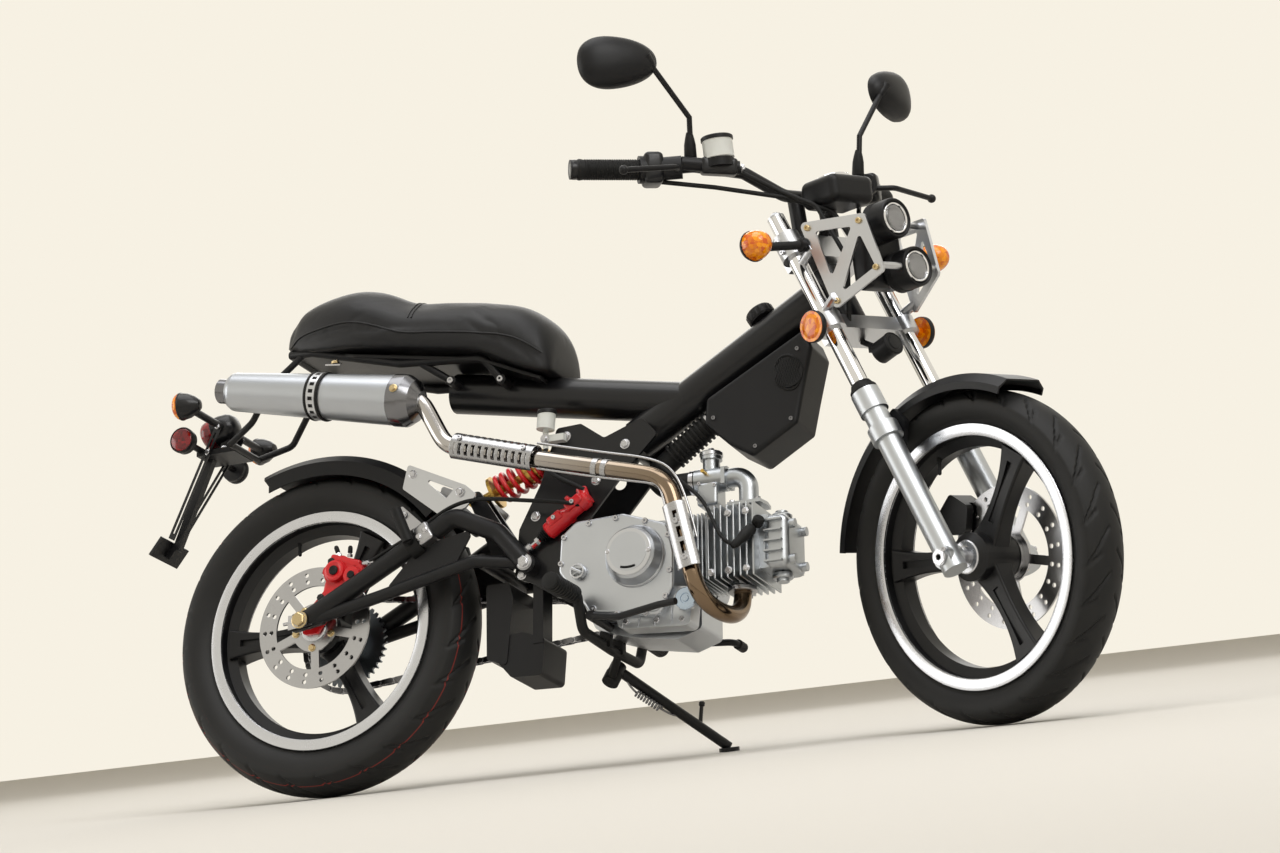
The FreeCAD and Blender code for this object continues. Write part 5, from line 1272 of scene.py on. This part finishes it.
# %% [markdown]
# The engine's parts are bare metal with many small fittings: the clutch cover's screws and its round
# boss with a polished lid, the filler plug, the strainer's disc, cap nuts on the head, the spark
# plug's black cap with its lead, and the carburettor's screws and clamps.
# %% Clutch cover fittings
CRANK = (646, 322)
lid = turned("boss_lid", [(41.5, 0), (41.5, 1.6), (40.2, 2.8), (33, 3.4), (31.5, 2.6), (6, 2.4), (1, 2.4)], 72)
settle(lid, "frame", F["bright_aluminium"], aimed(V(CRANK[0], -147, CRANK[1]), RIGHT))
lip = turned("boss_step", [(54.5, 0), (54.5, 2.5), (53, 4.5), (51.8, 5.2)], 96, ring=True)
apply_modifier(lip, "SOLIDIFY", thickness=0.0012)
settle(lip, "frame", F["engine_silver"], aimed(V(CRANK[0], -117.5, CRANK[1]), RIGHT))
bolts("boss_screws", dome_nut(4.2, 3), [((CRANK[0] - 37, -149, CRANK[1] + 4), RIGHT),
                                        ((CRANK[0] + 37, -149, CRANK[1] - 2), RIGHT)],
      "frame", BOLT_STEEL)
notch = bar("boss_notch", [V(CRANK[0] - 13, -150.8, CRANK[1] - 26), V(CRANK[0], -151.2, CRANK[1] - 29.5),
                           V(CRANK[0] + 13, -150.8, CRANK[1] - 26)], 2.2, sides=6)
settle(notch, "frame", F["black_rubber"])
COVER_SCREWS = [(514, 372), (560, 391), (610, 394), (664, 382), (706, 352), (708, 290), (700, 246), (664, 221),
                (612, 225),
                (568, 240), (532, 276), (508, 326)]
screws = [((x, -115.5, z), RIGHT) for x, z in COVER_SCREWS]
bolts("cover_screws", socket_bolt(5.2, 6), screws, "frame")
gasket = bar("cover_gasket", [V(x, -59, z) for x, z in [(500, 312), (504, 378), (534, 401), (622, 404),
                                                        (706, 376), (718, 322), (716, 262),
                                                       (689, 214), (561, 230)]], 1.4, cyclic=True, sides=6,
             order=3, straight=True)
settle(gasket, "frame", F["black_rubber"])
plug = turned("filler_plug", [(14, -119), (14, -127), (13, -129), (10.5, -129.5), (10.5, -128), (1, -128)], 32)
plug.data.transform(Matrix.Rotation(math.pi, 4, "X"))
settle(plug, "frame", F["bright_aluminium"],
       Matrix.Translation(V(542, 0, 307)) @ Matrix.Rotation(math.pi / 2, 4, "X"))
grip_place = Matrix.Translation(V(542, -131, 307)) @ Matrix.Rotation(0.5, 4, "Y")
grip_bar = softened_cube("filler_grip", grip_place @ Matrix.Diagonal((0.022, 0.007, 0.005, 1)), 0.0015, 3)
settle(grip_bar, "frame", F["engine_silver"])
strainer = turned("strainer_disc", [(18.5, 0), (19.5, 1.5), (19.5, 4), (18, 5.4), (9, 5.0), (8.4, 3.8), (6, 3.8),
                                    (5.4, 5.6), (1, 5.8)], 48)
settle(strainer, "frame", finish("blued_zinc", (0.42, 0.50, 0.60), 0.25, metal=1.0),
       aimed(V(735, -112, 238), RIGHT))
print("cover done")

# %% [markdown]
# Ribs on the sump and on the head catch the light, and the fins get thin bright edges where their
# castings were machined flat.
# %% Cylinder and head
edges = []
for i in range(6):
    x = 706 + 5 + i * 7.6 + 1.2
    edges.append(bar("fin_edge", [V(x, -58.1, 286), V(x, -58.1, 402)], 1.5, sides=6, straight=True))
for i in range(8):
    x = 752 + 4 + i * 11.6 + 1.5
    if i < 7:
        edges.append(bar("fin_edge", [V(x, -68.1, 281), V(x, -68.1, 408)], 1.8, sides=6, straight=True))
settle(joined("fin_edges", edges), "frame", F["raw_aluminium"])
bolts("head_nuts", dome_nut(7, 11), [((889, y, 342 + up), (1, 0, 0)) for y,
                                     up in ((-30, 30), (24, 30), (-30, -32), (24, -32))], "frame")
side_nuts = [((762 + i * 32, -68, 342 + up), RIGHT) for i in range(3) for up in (50, -50)]
bolts("head_side_bolts", hex_bolt(5, 5), side_nuts, "frame")
caps = []
for up, turn_to in ((48, UP), (-48, (0, 0, -1))):
    caps.append(stood(turned("valve_cap", [(17, 0), (18, 2), (18, 7), (16, 9), (11, 9.5), (11, 14), (9.5, 15),
                                           (1, 15)], 32), V(866, -2, 342 + up), turn_to))
settle(joined("valve_caps", caps), "frame", F["raw_aluminium"])
boot = turned("plug_cap", [(8, 0), (10, 4), (10.5, 18), (9, 30), (7.5, 34), (7.5, 46), (5.5, 50), (3.6, 54)], 24)
settle(boot, "frame", F["black_rubber"], aimed(V(838, -66, 362), (-0.42, -0.42, -0.60)))
elbow = turned("plug_head", [(1, -3), (8, -2), (10, 2), (10, 12), (8, 15), (1, 16)], 24)
settle(elbow, "frame", F["black_rubber"], aimed(V(843, -60, 368), (0.5, -0.5, 0.5)))
fins = []
for i in range(4):
    fins.append(bar("sump_rib", [V(612 + i * 30, -100.5, 206 - i * 1.6), V(618 + i * 29, -100.5, 232 + i * 3)],
                    1.8, sides=6, straight=True))
settle(joined("sump_ribs", fins), "frame", F["engine_silver"])
bolts("sump_bolts", hex_bolt(5.5, 5), [((620, -98, 216), RIGHT), ((676, -98, 212), RIGHT),
                                       ((722, -98, 208), RIGHT)], "frame")
print("head done")

# %% Carburettor fittings
carb_bolts = [((768, -19, 478), (-1, 0, 0)), ((768, 19, 478), (-1, 0, 0)), ((722, -22, 440), RIGHT),
              ((752, -22, 462), RIGHT),
              ((724, -22, 468), RIGHT)]
bolts("carburettor_screws", socket_bolt(3.2, 3), carb_bolts, "frame")
top = turned("carburettor_top", [(19.5, 0), (20.2, 1), (20.2, 7), (19, 8.5), (12, 9.5), (6, 10), (5, 16), (3, 17),
                                 (1, 17)], 32)
for v in top.data.vertices:
    a = math.atan2(v.co.y, v.co.x)
    if v.co.xy.length > 0.0188:
        v.co.xy *= 1 + 0.012 * math.cos(a * 16)
settle(top, "frame", F["bright_aluminium"], aimed(V(738, 0, 520), UP))
hose_clamps = []
for at, direction, r in ((V(706, 0, 478), (1, 0, 0), 20.8), (V(738, 0, 581.6), (63.5, 0, 46), 21.5)):
    hose_clamps.append(stood(turned("hose_clamp", [(r, -4), (r + 0.9, -4), (r + 0.9, 4), (r, 4), (r, -4)], 48,
                                    ring=True), at, direction))
settle(joined("hose_clamps", hose_clamps), "frame", BOLT_STEEL)
idle = bar("idle_screw", [V(735, -20, 486), V(735, -36, 486)], 3.2, sides=10, straight=True)
settle(idle, "frame", F["yellow_zinc"])
flange = sheet_shape("intake_flange", [V(776, -26, 420.5), V(836, -26, 420.5), V(840, 0, 420.5),
                                       V(836, 26, 420.5), V(776, 26, 420.5), V(772, 0, 420.5)],
                     (0, 0, 0.006))
settle(flange, "frame", F["raw_aluminium"])
bolts("intake_nuts", hex_bolt(4.5, 5), [((782, -18, 426.5), UP), ((830, -18, 426.5), UP), ((830, 18, 426.5), UP)],
      "frame")
print("carburettor done")

# %% [markdown]
# The air cleaner's inlet is an oval mesh in a raised rim, and the case is screwed together along its
# edge. The mesh is a grid of small ribs.
# %% Air cleaner mesh
rim = turned("mesh_rim", [(25.5, 0), (26.5, 1.5), (28.5, 2.4), (30.5, 1.6), (31, 0)], 64, ring=True)
rim.data.transform(Matrix.Diagonal((0.82, 1.12, 1, 1)))
rim.data.transform(aimed(V(900, -46, 636), RIGHT, 0.25))
threads = []
for i in range(-4, 5):
    reach = math.sqrt(max(0.0, 1 - (i / 4.6) ** 2))
    for slope in (1, -1):
        a = V(900 + i * 4.6 - slope * 10 * reach, -49.6, 636 + 26 * reach)
        b = V(900 + i * 4.6 + slope * 10 * reach, -49.6, 636 - 26 * reach)
        threads.append(bar("thread", [a, b], 0.9, sides=4, straight=True))
settle(joined("air_mesh", [rim] + threads), "frame", F["black_rubber"])
bolts("airbox_screws", socket_bolt(4, 3), [((762, -46, 574), RIGHT), ((838, -46, 512), RIGHT),
                                           ((904, -46, 552), RIGHT),
                                           ((918, -46, 676), RIGHT)], "frame", DARK_STEEL)

# %% [markdown]
# Controls: ribbed grips with a flange and a bar end, a switch block, the white brake pot with its
# black lid, and the mirrors' glass.
# %% Grips and switch blocks
grips, ends, blocks = [], [], []
for side in (-1, 1):
    inner, outer = front(-398, side * 262, 750), front(-466, side * 376, 761)
    along = (outer - inner).normalized()
    length = (outer - inner).length * 1000
    profile = [(17.1, 12), (21.5, 13), (22.5, 15), (21.5, 17.5), (17.6, 19)]
    for i in range(24):
        d = 21 + i * (length - 38) / 24
        profile += [(17.9, d), (18.1, d + 1.4), (17.2, d + 1.9), (17.2, d + 3.0)]
    profile += [(18.2, length - 13), (18.6, length - 10), (17.4, length - 6.6), (12, length - 5.6)]
    grips.append(stood(turned("grip", profile, 40, ring=True), inner, along))
    ends.append(stood(turned("bar_end", [(10.8, length - 7), (16.8, length - 5.6), (17.6, length - 3),
                                         (17.2, length + 2.6), (15, length + 5.6), (1, length + 6)], 40), inner,
                      along))
    blocks.append(softened_cube("switch_block", aimed(inner + along * -0.004,
                                                      along) @ Matrix.Diagonal((0.050, 0.056, 0.034, 1)),
                                0.009))
    for up in (13, -9):
        blocks.append(stood(turned("button", [(5, 0), (5, 3), (4, 4), (1, 4.2)], 20), inner + V(-26, 0, up),
                            (-1, 0, 0.2)))
settle(joined("ribbed_grips", grips), "front_end", F["black_rubber"], angle=24)
settle(joined("bar_ends", ends), "front_end", F["black_paint"])
settle(joined("switch_blocks", blocks), "front_end", F["black_paint"])
POT = front(-314, -176, 752)
pot = turned("brake_pot", [(24, 0), (26.2, 1), (26.4, 4), (26.2, 31), (26.8, 33)], 48)
settle(pot, "front_end", F["white_plastic"], aimed(POT, UP))
lid = turned("brake_pot_lid", [(26.8, 32), (28, 32.6), (28, 38), (26.6, 39.6), (22, 39.8), (1, 39.8)], 48)
settle(lid, "front_end", F["black_plastic"], aimed(POT, UP))
a, b = front(-336, -206, 744), front(-298, -148, 734)
master = softened_cube("front_master_cylinder", aimed((a + b) / 2, b - a) @ Matrix.Diagonal((0.028, 0.030, 0.064,
                                                                                             1)), 0.007)
settle(master, "front_end", F["black_paint"])
bolts("master_banjo", hex_bolt(6.5, 6), [(front(-296, -145, 733.5) * 1000, (0.55, 0.82, -0.15))], "front_end")
print("controls done")

# %% Mirror glass and stem sleeves
glasses, sleeves, shells = [], [], []
toe = math.radians(20)
for side in (-1, 1):
    outward = Vector((-math.sin(toe), side * math.cos(toe), 0))
    back_way = Vector((-math.cos(toe), -side * math.sin(toe), 0))
    centre = front(-374, side * 328, 928)
    deselect()
    bpy.ops.mesh.primitive_circle_add(vertices=64, radius=1.0, fill_type="NGON")
    glass = bpy.context.object
    for v in glass.data.vertices:
        a = math.atan2(v.co.y, v.co.x)
        lift = 36.5 * math.sin(a) * (1 + 0.2 * math.cos(a))
        v.co = centre + back_way * 0.0076 + outward * (0.062 * math.cos(a)) + V(0, 0, lift)
    edit_all(glass)
    bpy.ops.mesh.inset(thickness=0.0035, depth=0.0009)
    bpy.ops.object.mode_set(mode="OBJECT")
    glasses.append(glass)
    rings = ((0.93, -8), (0.97, -7.2), (1.0, 0), (0.985, 6), (0.93, 13), (0.83, 19), (0.67, 24.4), (0.46, 28),
             (0.22, 30), (0.01, 30.4))
    shell = turned("shell", [(100 * s, d) for s, d in rings], 64)
    for v in shell.data.vertices:
        a, s = math.atan2(v.co.y, v.co.x), math.hypot(v.co.x, v.co.y) * 10
        wide, lift = math.copysign(abs(math.cos(a)) ** 0.88, math.cos(a)), math.copysign(abs(math.sin(a)) ** 0.88,
                                                                                         math.sin(a))
        v.co = centre - back_way * v.co.z + outward * (0.072 * wide * s) + V(0, 0, 45 * lift * (1 + 0.2 * wide) * s)
    edit_all(shell)
    bpy.ops.mesh.normals_make_consistent(inside=False)
    bpy.ops.object.mode_set(mode="OBJECT")
    neck = centre - outward * 0.050 - back_way * 0.014
    stem = bar("stem", [front(-355, side * 203, 765), front(-343, side * 206, 832), neck], 5, sides=16,
               straight=True)
    boss = turned("boss", [(5.4, -4), (8.5, 2), (10, 10), (11.5, 22)], 24)
    boss.data.transform(aimed(neck - (neck - front(-343, side * 206, 832)).normalized() * 0.014,
                              neck - front(-343, side * 206, 832)))
    shells += [shell, stem, boss]
    sleeves.append(stood(turned("sleeve", [(7, -2), (10.4, 0), (11, 3), (10.2, 24), (8.4, 34), (6.0, 44),
                                           (5.2, 46)], 32), front(-357, side * 202.4, 762),
                         front(-351, side * 204, 794) - front(-358, side * 202, 752)))
mirror_shells = settle(joined("mirror_shells", shells), "front_end", F["black_plastic"])
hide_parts("mirrors")
settle(joined("mirror_glass", glasses), "front_end", F["chrome"])
settle(joined("mirror_sleeves", sleeves), "front_end", F["black_rubber"])

# %% [markdown]
# The dial lies on top of the black cowl and faces the rider: a ring, a dark face and a needle, bare
# of marks. Fork caps, dust seals and drain screws finish the fork.
# %% Dial and fork fittings
DIAL = front(-226, 0, 702)
ring = turned("dial_ring", [(28, -2), (31, -1), (31.5, 2), (30, 4), (28, 4.2), (27, 2)], 64, ring=True)
settle(ring, "front_end", F["chrome"], aimed(DIAL, (-0.12, 0, 1)))
face = turned("dial_face", [(27.4, 1.5), (26, 2.1), (3, 2.1), (2.6, 3.4), (1, 3.6)], 64)
settle(face, "front_end", F["black_plastic"], aimed(DIAL, (-0.12, 0, 1)))
needle = bar("dial_needle", [DIAL + V(0, 0, 3), DIAL + V(-14, 12, 3)], 0.6, sides=6, straight=True)
settle(needle, "front_end", F["red_paint"])
seals, fork_caps = [], []
for side in (-1, 1):
    seals.append(stood(turned("dust_seal", [(15.6, 0), (22.5, 0.5), (24, 2), (23.6, 7), (20, 12), (17.6, 18),
                                            (15.8, 19)], 48, ring=True), fork(332, side * 88), STEER_DIR))
    fork_caps.append(stood(turned("fork_cap", [(15.4, 0), (15.4, 3), (14, 5), (9, 5.4)], 48),
                           fork(703, side * 88), STEER_DIR))
    fork_caps.append(stood(turned("fork_cap_nut", [(8.5, 5), (8.5, 10), (7.4, 11.5), (1, 11.5)], 6),
                           fork(703, side * 88), STEER_DIR))
settle(joined("dust_seals", seals), "front_end", F["black_rubber"])
settle(joined("fork_caps", fork_caps), "front_end", F["bright_aluminium"])
clamp_places = [(fork(t, side * 112.2) * 1000, (0, side, 0)) for t in (630, 652) for side in (-1, 1)]
bolts("clamp_bolts", socket_bolt(4.6, 5), clamp_places, "front_end")
drains = [(fork(6, side * 108.6, 14) * 1000, (0.4, side, 0.1)) for side in (-1, 1)]
bolts("fork_drain_screws", socket_bolt(4, 3), drains, "front_end")
axle_nuts = []
for side in (-1, 1):
    axle_nuts.append(stood(turned("axle_nut", [(5.6, 0), (12.6, 0), (13.6, 1.2), (13.6, 3), (7.4, 3.4), (5.6, 3)],
                                  6, ring=True), V(1230, side * 110, 275), (0, side, 0)))
settle(joined("front_axle_nuts", axle_nuts), "front_end", BOLT_STEEL)

# %% [markdown]
# The frame's plates, the swingarm and the tail get their bolts. Each one sits where a real one holds
# a part: engine mounts, pivot, shock, footrest bar, seat rails, lamp carrier and stand.
# %% Frame fittings
FRAME_BOLTS = [((500, -54, 300), RIGHT), ((516, -54, 384), RIGHT), ((488, -54, 578), RIGHT),
               ((600, -54, 548), RIGHT),
               ((545, -54, 490), RIGHT), ((430, -54, 440), RIGHT), ((404, -54, 338), RIGHT),
               ((500, 54, 300), LEFT), ((516, 54, 384), LEFT), ((488, 54, 578), LEFT)]
bolts("frame_bolts", hex_bolt(7, 6), FRAME_BOLTS, "frame")
bolts("pivot_nuts", hex_bolt(9.5, 8), [((423, side * 87, 350), (0, side, 0)) for side in (-1, 1)], "frame")
bolts("rear_axle_nuts", hex_bolt(12, 9), [((0, side * 112, 292), (0, side, 0)) for side in (-1, 1)], "frame",
      BRASS_BOLT)
bolts("rail_bolts", socket_bolt(6, 5), [((366, side * 66, 700), (0, side, 0)) for side in (-1, 1)]
      + [((268, side * 66, 712), (0, side, 0)) for side in (-1, 1)], "frame")
bolts("bracket_bolts", hex_bolt(6, 5), [((290, side * 70, 500), (0, side, 0)) for side in (-1, 1)]
      + [((196, side * 68.3, 546), (0, side, 0)) for side in (-1, 1)], "frame")
bolts("caliper_bolts", hex_bolt(5.5, 5), [((40, -74.5, 404), RIGHT), ((88, -74.5, 378), RIGHT),
                                          ((20, -74.5, 340), RIGHT)], "frame", F["black_paint"])
bolts("tail_bolts", hex_bolt(4.5, 4), [((-246, -34, 662), RIGHT), ((-214, -30, 667), UP), ((-214, 30, 667), UP)],
      "frame")
cap = turned("fuel_cap_grip", [(24.4, 0), (25.4, 1.2), (25.4, 15), (24, 17.4), (20, 18.6), (1, 19)], 60)
for v in cap.data.vertices:
    if 0.0235 < v.co.xy.length and 0.001 < v.co.z < 0.0165:
        v.co.xy *= 1 + 0.022 * math.cos(math.atan2(v.co.y, v.co.x) * 20)
spine_dir = (V(913, 0, 758) - V(602, 0, 571)).normalized()
spine_up = Vector((-spine_dir.z, 0, spine_dir.x))
cap_at = V(602, 0, 571) + spine_dir * 0.300 + spine_up * (0.032 + 0.0065)
settle(cap, "frame", F["black_plastic"], aimed(cap_at, spine_up))
pot_cap = turned("rear_pot_cap", [(16.6, 0), (17.4, 1), (17.4, 6), (16, 7.6), (1, 8)], 40)
settle(pot_cap, "frame", F["black_plastic"], aimed(V(459, -71, 617), UP))
banjo = turned("rear_pot_banjo", [(4, 0), (8, 0), (8, 5), (5, 6), (5, 11), (1, 11.4)], 24)
settle(banjo, "frame", BOLT_STEEL, aimed(V(455, -68, 574), (0, -1, -0.2)))
adjusters = []
for side in (-1, 1):
    adjusters.append(bar("adjuster", [V(-40, side * 98, 292), V(-18, side * 98, 293)], 3, sides=10, straight=True))
    plate_piece = sheet_shape("adjuster_plate", [V(-30, side * 98.5, 280), V(18, side * 98.5, 284),
                                                 V(18, side * 98.5, 306), V(-30, side * 98.5, 306)],
                              (0, side * 0.002, 0))
    adjusters.append(plate_piece)
settle(joined("chain_adjusters", adjusters), "frame", BOLT_STEEL)
print("frame fittings done")

# %% [markdown]
# Footrests have grooved rubbers. The brake pedal ends in a small ribbed pad, the gear lever in a
# rubber toe piece. Hoses run from the rear pot to its cylinder and on to the caliper: both ends are
# held, and they follow the frame.
# %% Footrests and hoses
rubbers = []
for side in (-1, 1):
    a, b = V(548, side * 152, 258), V(540, side * 234, 262)
    along = (b - a).normalized()
    length = (b - a).length * 1000
    profile = [(13.2, 0), (15.5, 1.5)]
    for i in range(9):
        d = 4 + i * (length - 8) / 9
        profile += [(15.8, d), (15.8, d + 5), (14.2, d + 5.6), (14.2, d + 8)]
    profile += [(15.8, length - 3), (14.5, length), (8, length + 1.5)]
    rubbers.append(stood(turned("rubber", profile, 32), a, along))
rubbers.append(stood(turned("toe_rubber", [(6.2, 0), (9, 1), (9, 26), (7.5, 28), (2, 28.5)], 24),
                     V(720, 150, 228), LEFT))
settle(joined("footrest_rubbers", rubbers), "frame", F["black_rubber"])
hoses = [bar("hose", [V(455, -66, 560), V(454, -72, 530), V(470, -82, 500), V(506, -84, 484), V(530, -72, 470)],
             4, sides=10),
         bar("hose", [V(524, -74, 442), V(500, -96, 446), V(440, -104, 452), V(330, -96, 478), V(262, -80, 468),
                      V(190, -74, 424),
                      V(130, -70, 404), V(100, -62, 392)], 3.6, sides=10)]
settle(joined("rear_brake_hoses", hoses), "frame", F["black_rubber"])
lead = bar("plug_lead", [V(816, -88, 330), V(800, -98, 326), V(772, -86, 380), V(744, -50, 430), V(700, -40, 470),
                         V(640, -30, 520)], 3.4, sides=10)
settle(lead, "frame", F["black_rubber"])
print("fittings done")

# %% [markdown]
# The rear caliper is a cast lump: two round housings for its pistons, a black plug, a hose fitting
# and two bleed nipples. The pedal's cylinder has a thick middle, lugs and a bellows on its rod.
# %% Brake details
def drum(name, profile, at, direction, vertices=40):
    """A turned piece that is set straight on its place."""
    return stood(turned(name, profile, vertices), at, direction)


def block(at, size, turn=0.0, rounding=3.0):
    """A rounded block, turned about y, given in millimetres."""
    place = Matrix.Translation(V(*at)) @ Matrix.Rotation(turn, 4, "Y")
    return softened_cube("block", place @ Matrix.Diagonal((*[s / 1000 for s in size], 1)), rounding / 1000)


red = [drum("housing", [(20, -2), (20, 9), (18.5, 12), (15, 13), (14, 12.4), (1, 12.4)], V(50, -72, 384), RIGHT),
       drum("housing", [(17, -2), (17, 8), (15.5, 10.5), (12, 11), (1, 11)], V(84, -72, 372), RIGHT),
       block((66, -60, 402), (62, 30, 16), 0.32, 5), block((34, -64, 352), (22, 20, 34), 0.2, 5)]
settle(joined("rear_caliper_housings", red), "frame", F["red_paint"])
plugs = [drum("plug", [(8.5, 0), (8.5, 2.2), (7, 3), (5, 2.4), (1, 2.4)], V(50, -84.4, 384), RIGHT),
         drum("plug", [(7, 0), (7, 2.2), (6, 3), (1, 3)], V(84, -83, 372), RIGHT)]
for x, z, lean in ((48, 418, -0.3), (70, 414, 0.15)):
    plugs.append(drum("nipple_cap", [(3.4, 5), (4.4, 6), (4.2, 15), (2.6, 18), (1, 18.4)], V(x, -62, z),
                      (lean, -0.2, 1), 16))
settle(joined("rear_caliper_plugs", plugs), "frame", F["black_rubber"])
nipples = [drum("nipple", [(5.2, -2), (5.2, 3), (3, 3.4), (3, 8)], V(x, -62, z), (lean, -0.2, 1), 6)
           for x, z, lean in ((48, 418, -0.3), (70, 414, 0.15))]
nipples.append(drum("hose_end", [(6, 0), (6.4, 1), (6.4, 12), (4.4, 14), (4.4, 22)], V(98, -64, 394), (1, 0, 0.1),
                    20))
settle(joined("rear_caliper_fittings", nipples), "frame", BOLT_STEEL)
a, b = V(458, -66, 404), V(538, -66, 458)
along = (b - a).normalized()
middle = [drum("barrel", [(12.3, 0), (15.5, 3), (15.5, 44), (13, 48), (13, 74), (15, 76), (15, 90), (12, 93),
                          (1, 94)], a, along),
          block((513, -76, 447), (17, 17, 34), 0.98, 4), block((478, -76, 423), (17, 17, 30), 0.98, 4),
          drum("inlet", [(9, 0), (9, 17), (7, 20), (4, 21), (4, 28)], V(512, -68, 440), (-0.62, 0, 0.78), 24)]
settle(joined("rear_master_body", middle), "frame", F["red_paint"])
rod_steel = [drum("push_rod", [(3.8, -44), (3.8, -2)], a, along, 16),
             drum("locknut", [(7, -26), (7, -20)], a, along, 6),
             drum("fork_end", [(8, -52), (8, -38), (6, -36)], a, along, 12)]
settle(joined("rear_master_rod", rod_steel), "frame", BOLT_STEEL)
bellows = [(12, 1)]
for i in range(4):
    bellows += [(12.6 - i, -1 - i * 4.4), (8.6 - i * 0.6, -3.2 - i * 4.4)]
settle(turned("rear_master_bellows", bellows + [(4.4, -19)], 32), "frame", F["black_rubber"],
       aimed(a, along))
bolts("rear_master_bolts", socket_bolt(4.2, 4), [((513, -84.5, 447), RIGHT), ((478, -84.5, 423), RIGHT)], "frame")
print("brakes done")

# %% [markdown]
# A bright bracket is clamped round the swingarm's upper tube and carries the mudguard's front edge.
# The folded passenger pegs are bright too. The stand has its long return spring and a small prong.
# %% Bright brackets and the stand's spring
bracket = sheet_shape("guard_bracket", [V(164, -75, 482), V(180, -75, 487), V(252, -82, 420), V(240, -82, 402),
                                        V(214, -79, 418),
                                        V(190, -76, 450)], (0, 0.003, 0), rounding=0.0015)
clamp = [block((240, -98, 419), (30, 34, 36), -0.5, 5), block((238, -86, 432), (30, 22, 8), -0.5, 3)]
settle(joined("guard_brackets", [bracket] + clamp), "frame", F["zinc_steel"])
bolts("guard_bracket_bolts", hex_bolt(5, 4), [((234, -115, 412), RIGHT), ((246, -115, 424), RIGHT),
                                              ((184, -78, 470), RIGHT)], "frame")
pivot = V(520, 84, 190)
leg = V(661, 250, 80) - pivot
down = leg.normalized()
beside = down.cross(Vector((0, 0, 1))).normalized()
over = down.cross(beside)
coil = []
for i in range(0, 16 * 9 + 1):
    turn = 2 * math.pi * i / 16
    centre = pivot + down * (0.050 + 0.052 * i / 144) + over * 0.0165
    coil.append(centre + beside * (0.0058 * math.cos(turn)) + over * (0.0058 * math.sin(turn)))
spring = [bar("coil", coil, 2.0, sides=6),
          bar("hook", [pivot + down * d + over * off for d, off in ((0.024, 0.006), (0.036, 0.015),
                                                                    (0.051, 0.0165))], 1.9, sides=6),
          bar("hook", [pivot + down * d + over * off for d, off in ((0.101, 0.0165), (0.128, 0.0165),
                                                                    (0.142, 0.007))], 1.9, sides=6)]
settle(joined("stand_spring", spring), "side_stand", DARK_STEEL)
prong_foot = pivot + leg * 0.74
prong = bar("stand_prong", [prong_foot, prong_foot + V(1, 0, 16), prong_foot + V(3, 0, 36)], 3.6, sides=10)
knob = drum("prong_end", [(3.6, -2), (5.4, 0), (5.4, 5), (4, 7), (1, 7.4)], prong_foot + V(3, 0, 34),
            (0.08, 0, 1), 16)
settle(joined("stand_prongs", [prong, knob]), "side_stand", F["black_paint"])
print("stand done")

# %% [markdown]
# Behind the seat the lamps hang on thin straps with rows of holes, and the plate carrier's arm is a
# pressed strip. The straps are sheets whose holes are taken out as faces before they are thickened.
# %% Tail straps
def holed_strap(name, a, b, width, holes):
    """A strip of sheet from a to b with a row of square holes."""
    deselect()
    bpy.ops.mesh.primitive_grid_add(x_subdivisions=holes * 2 + 1, y_subdivisions=3, size=2.0)
    obj = bpy.context.object
    obj.name = name
    step = 2 / (holes * 2 + 1)
    without_faces(obj, lambda at: abs(at.y) < 0.3 and int((at.x + 1) / step) % 2 == 1)
    run = b - a
    long_way = run.normalized()
    out = long_way.cross(Vector((0, 1, 0))).normalized()
    for v in obj.data.vertices:
        v.co = a + run * ((v.co.x + 1) / 2) + out * (v.co.y * width / 2000)
    apply_modifier(obj, "SOLIDIFY", thickness=0.0024)
    return obj


straps = []
for side in (-1, 1):
    straps.append(holed_strap("strap", V(-222, side * 42, 706), V(-330, side * 14, 512), 13, 9))
settle(joined("tail_straps", straps), "frame", F["black_paint"], angle=24)
tail_nuts = [((-222, side * 44, 706), (0, side, 0)) for side in (-1, 1)]
bolts("tail_strap_bolts", hex_bolt(4, 3), tail_nuts, "frame")

print("tail done")
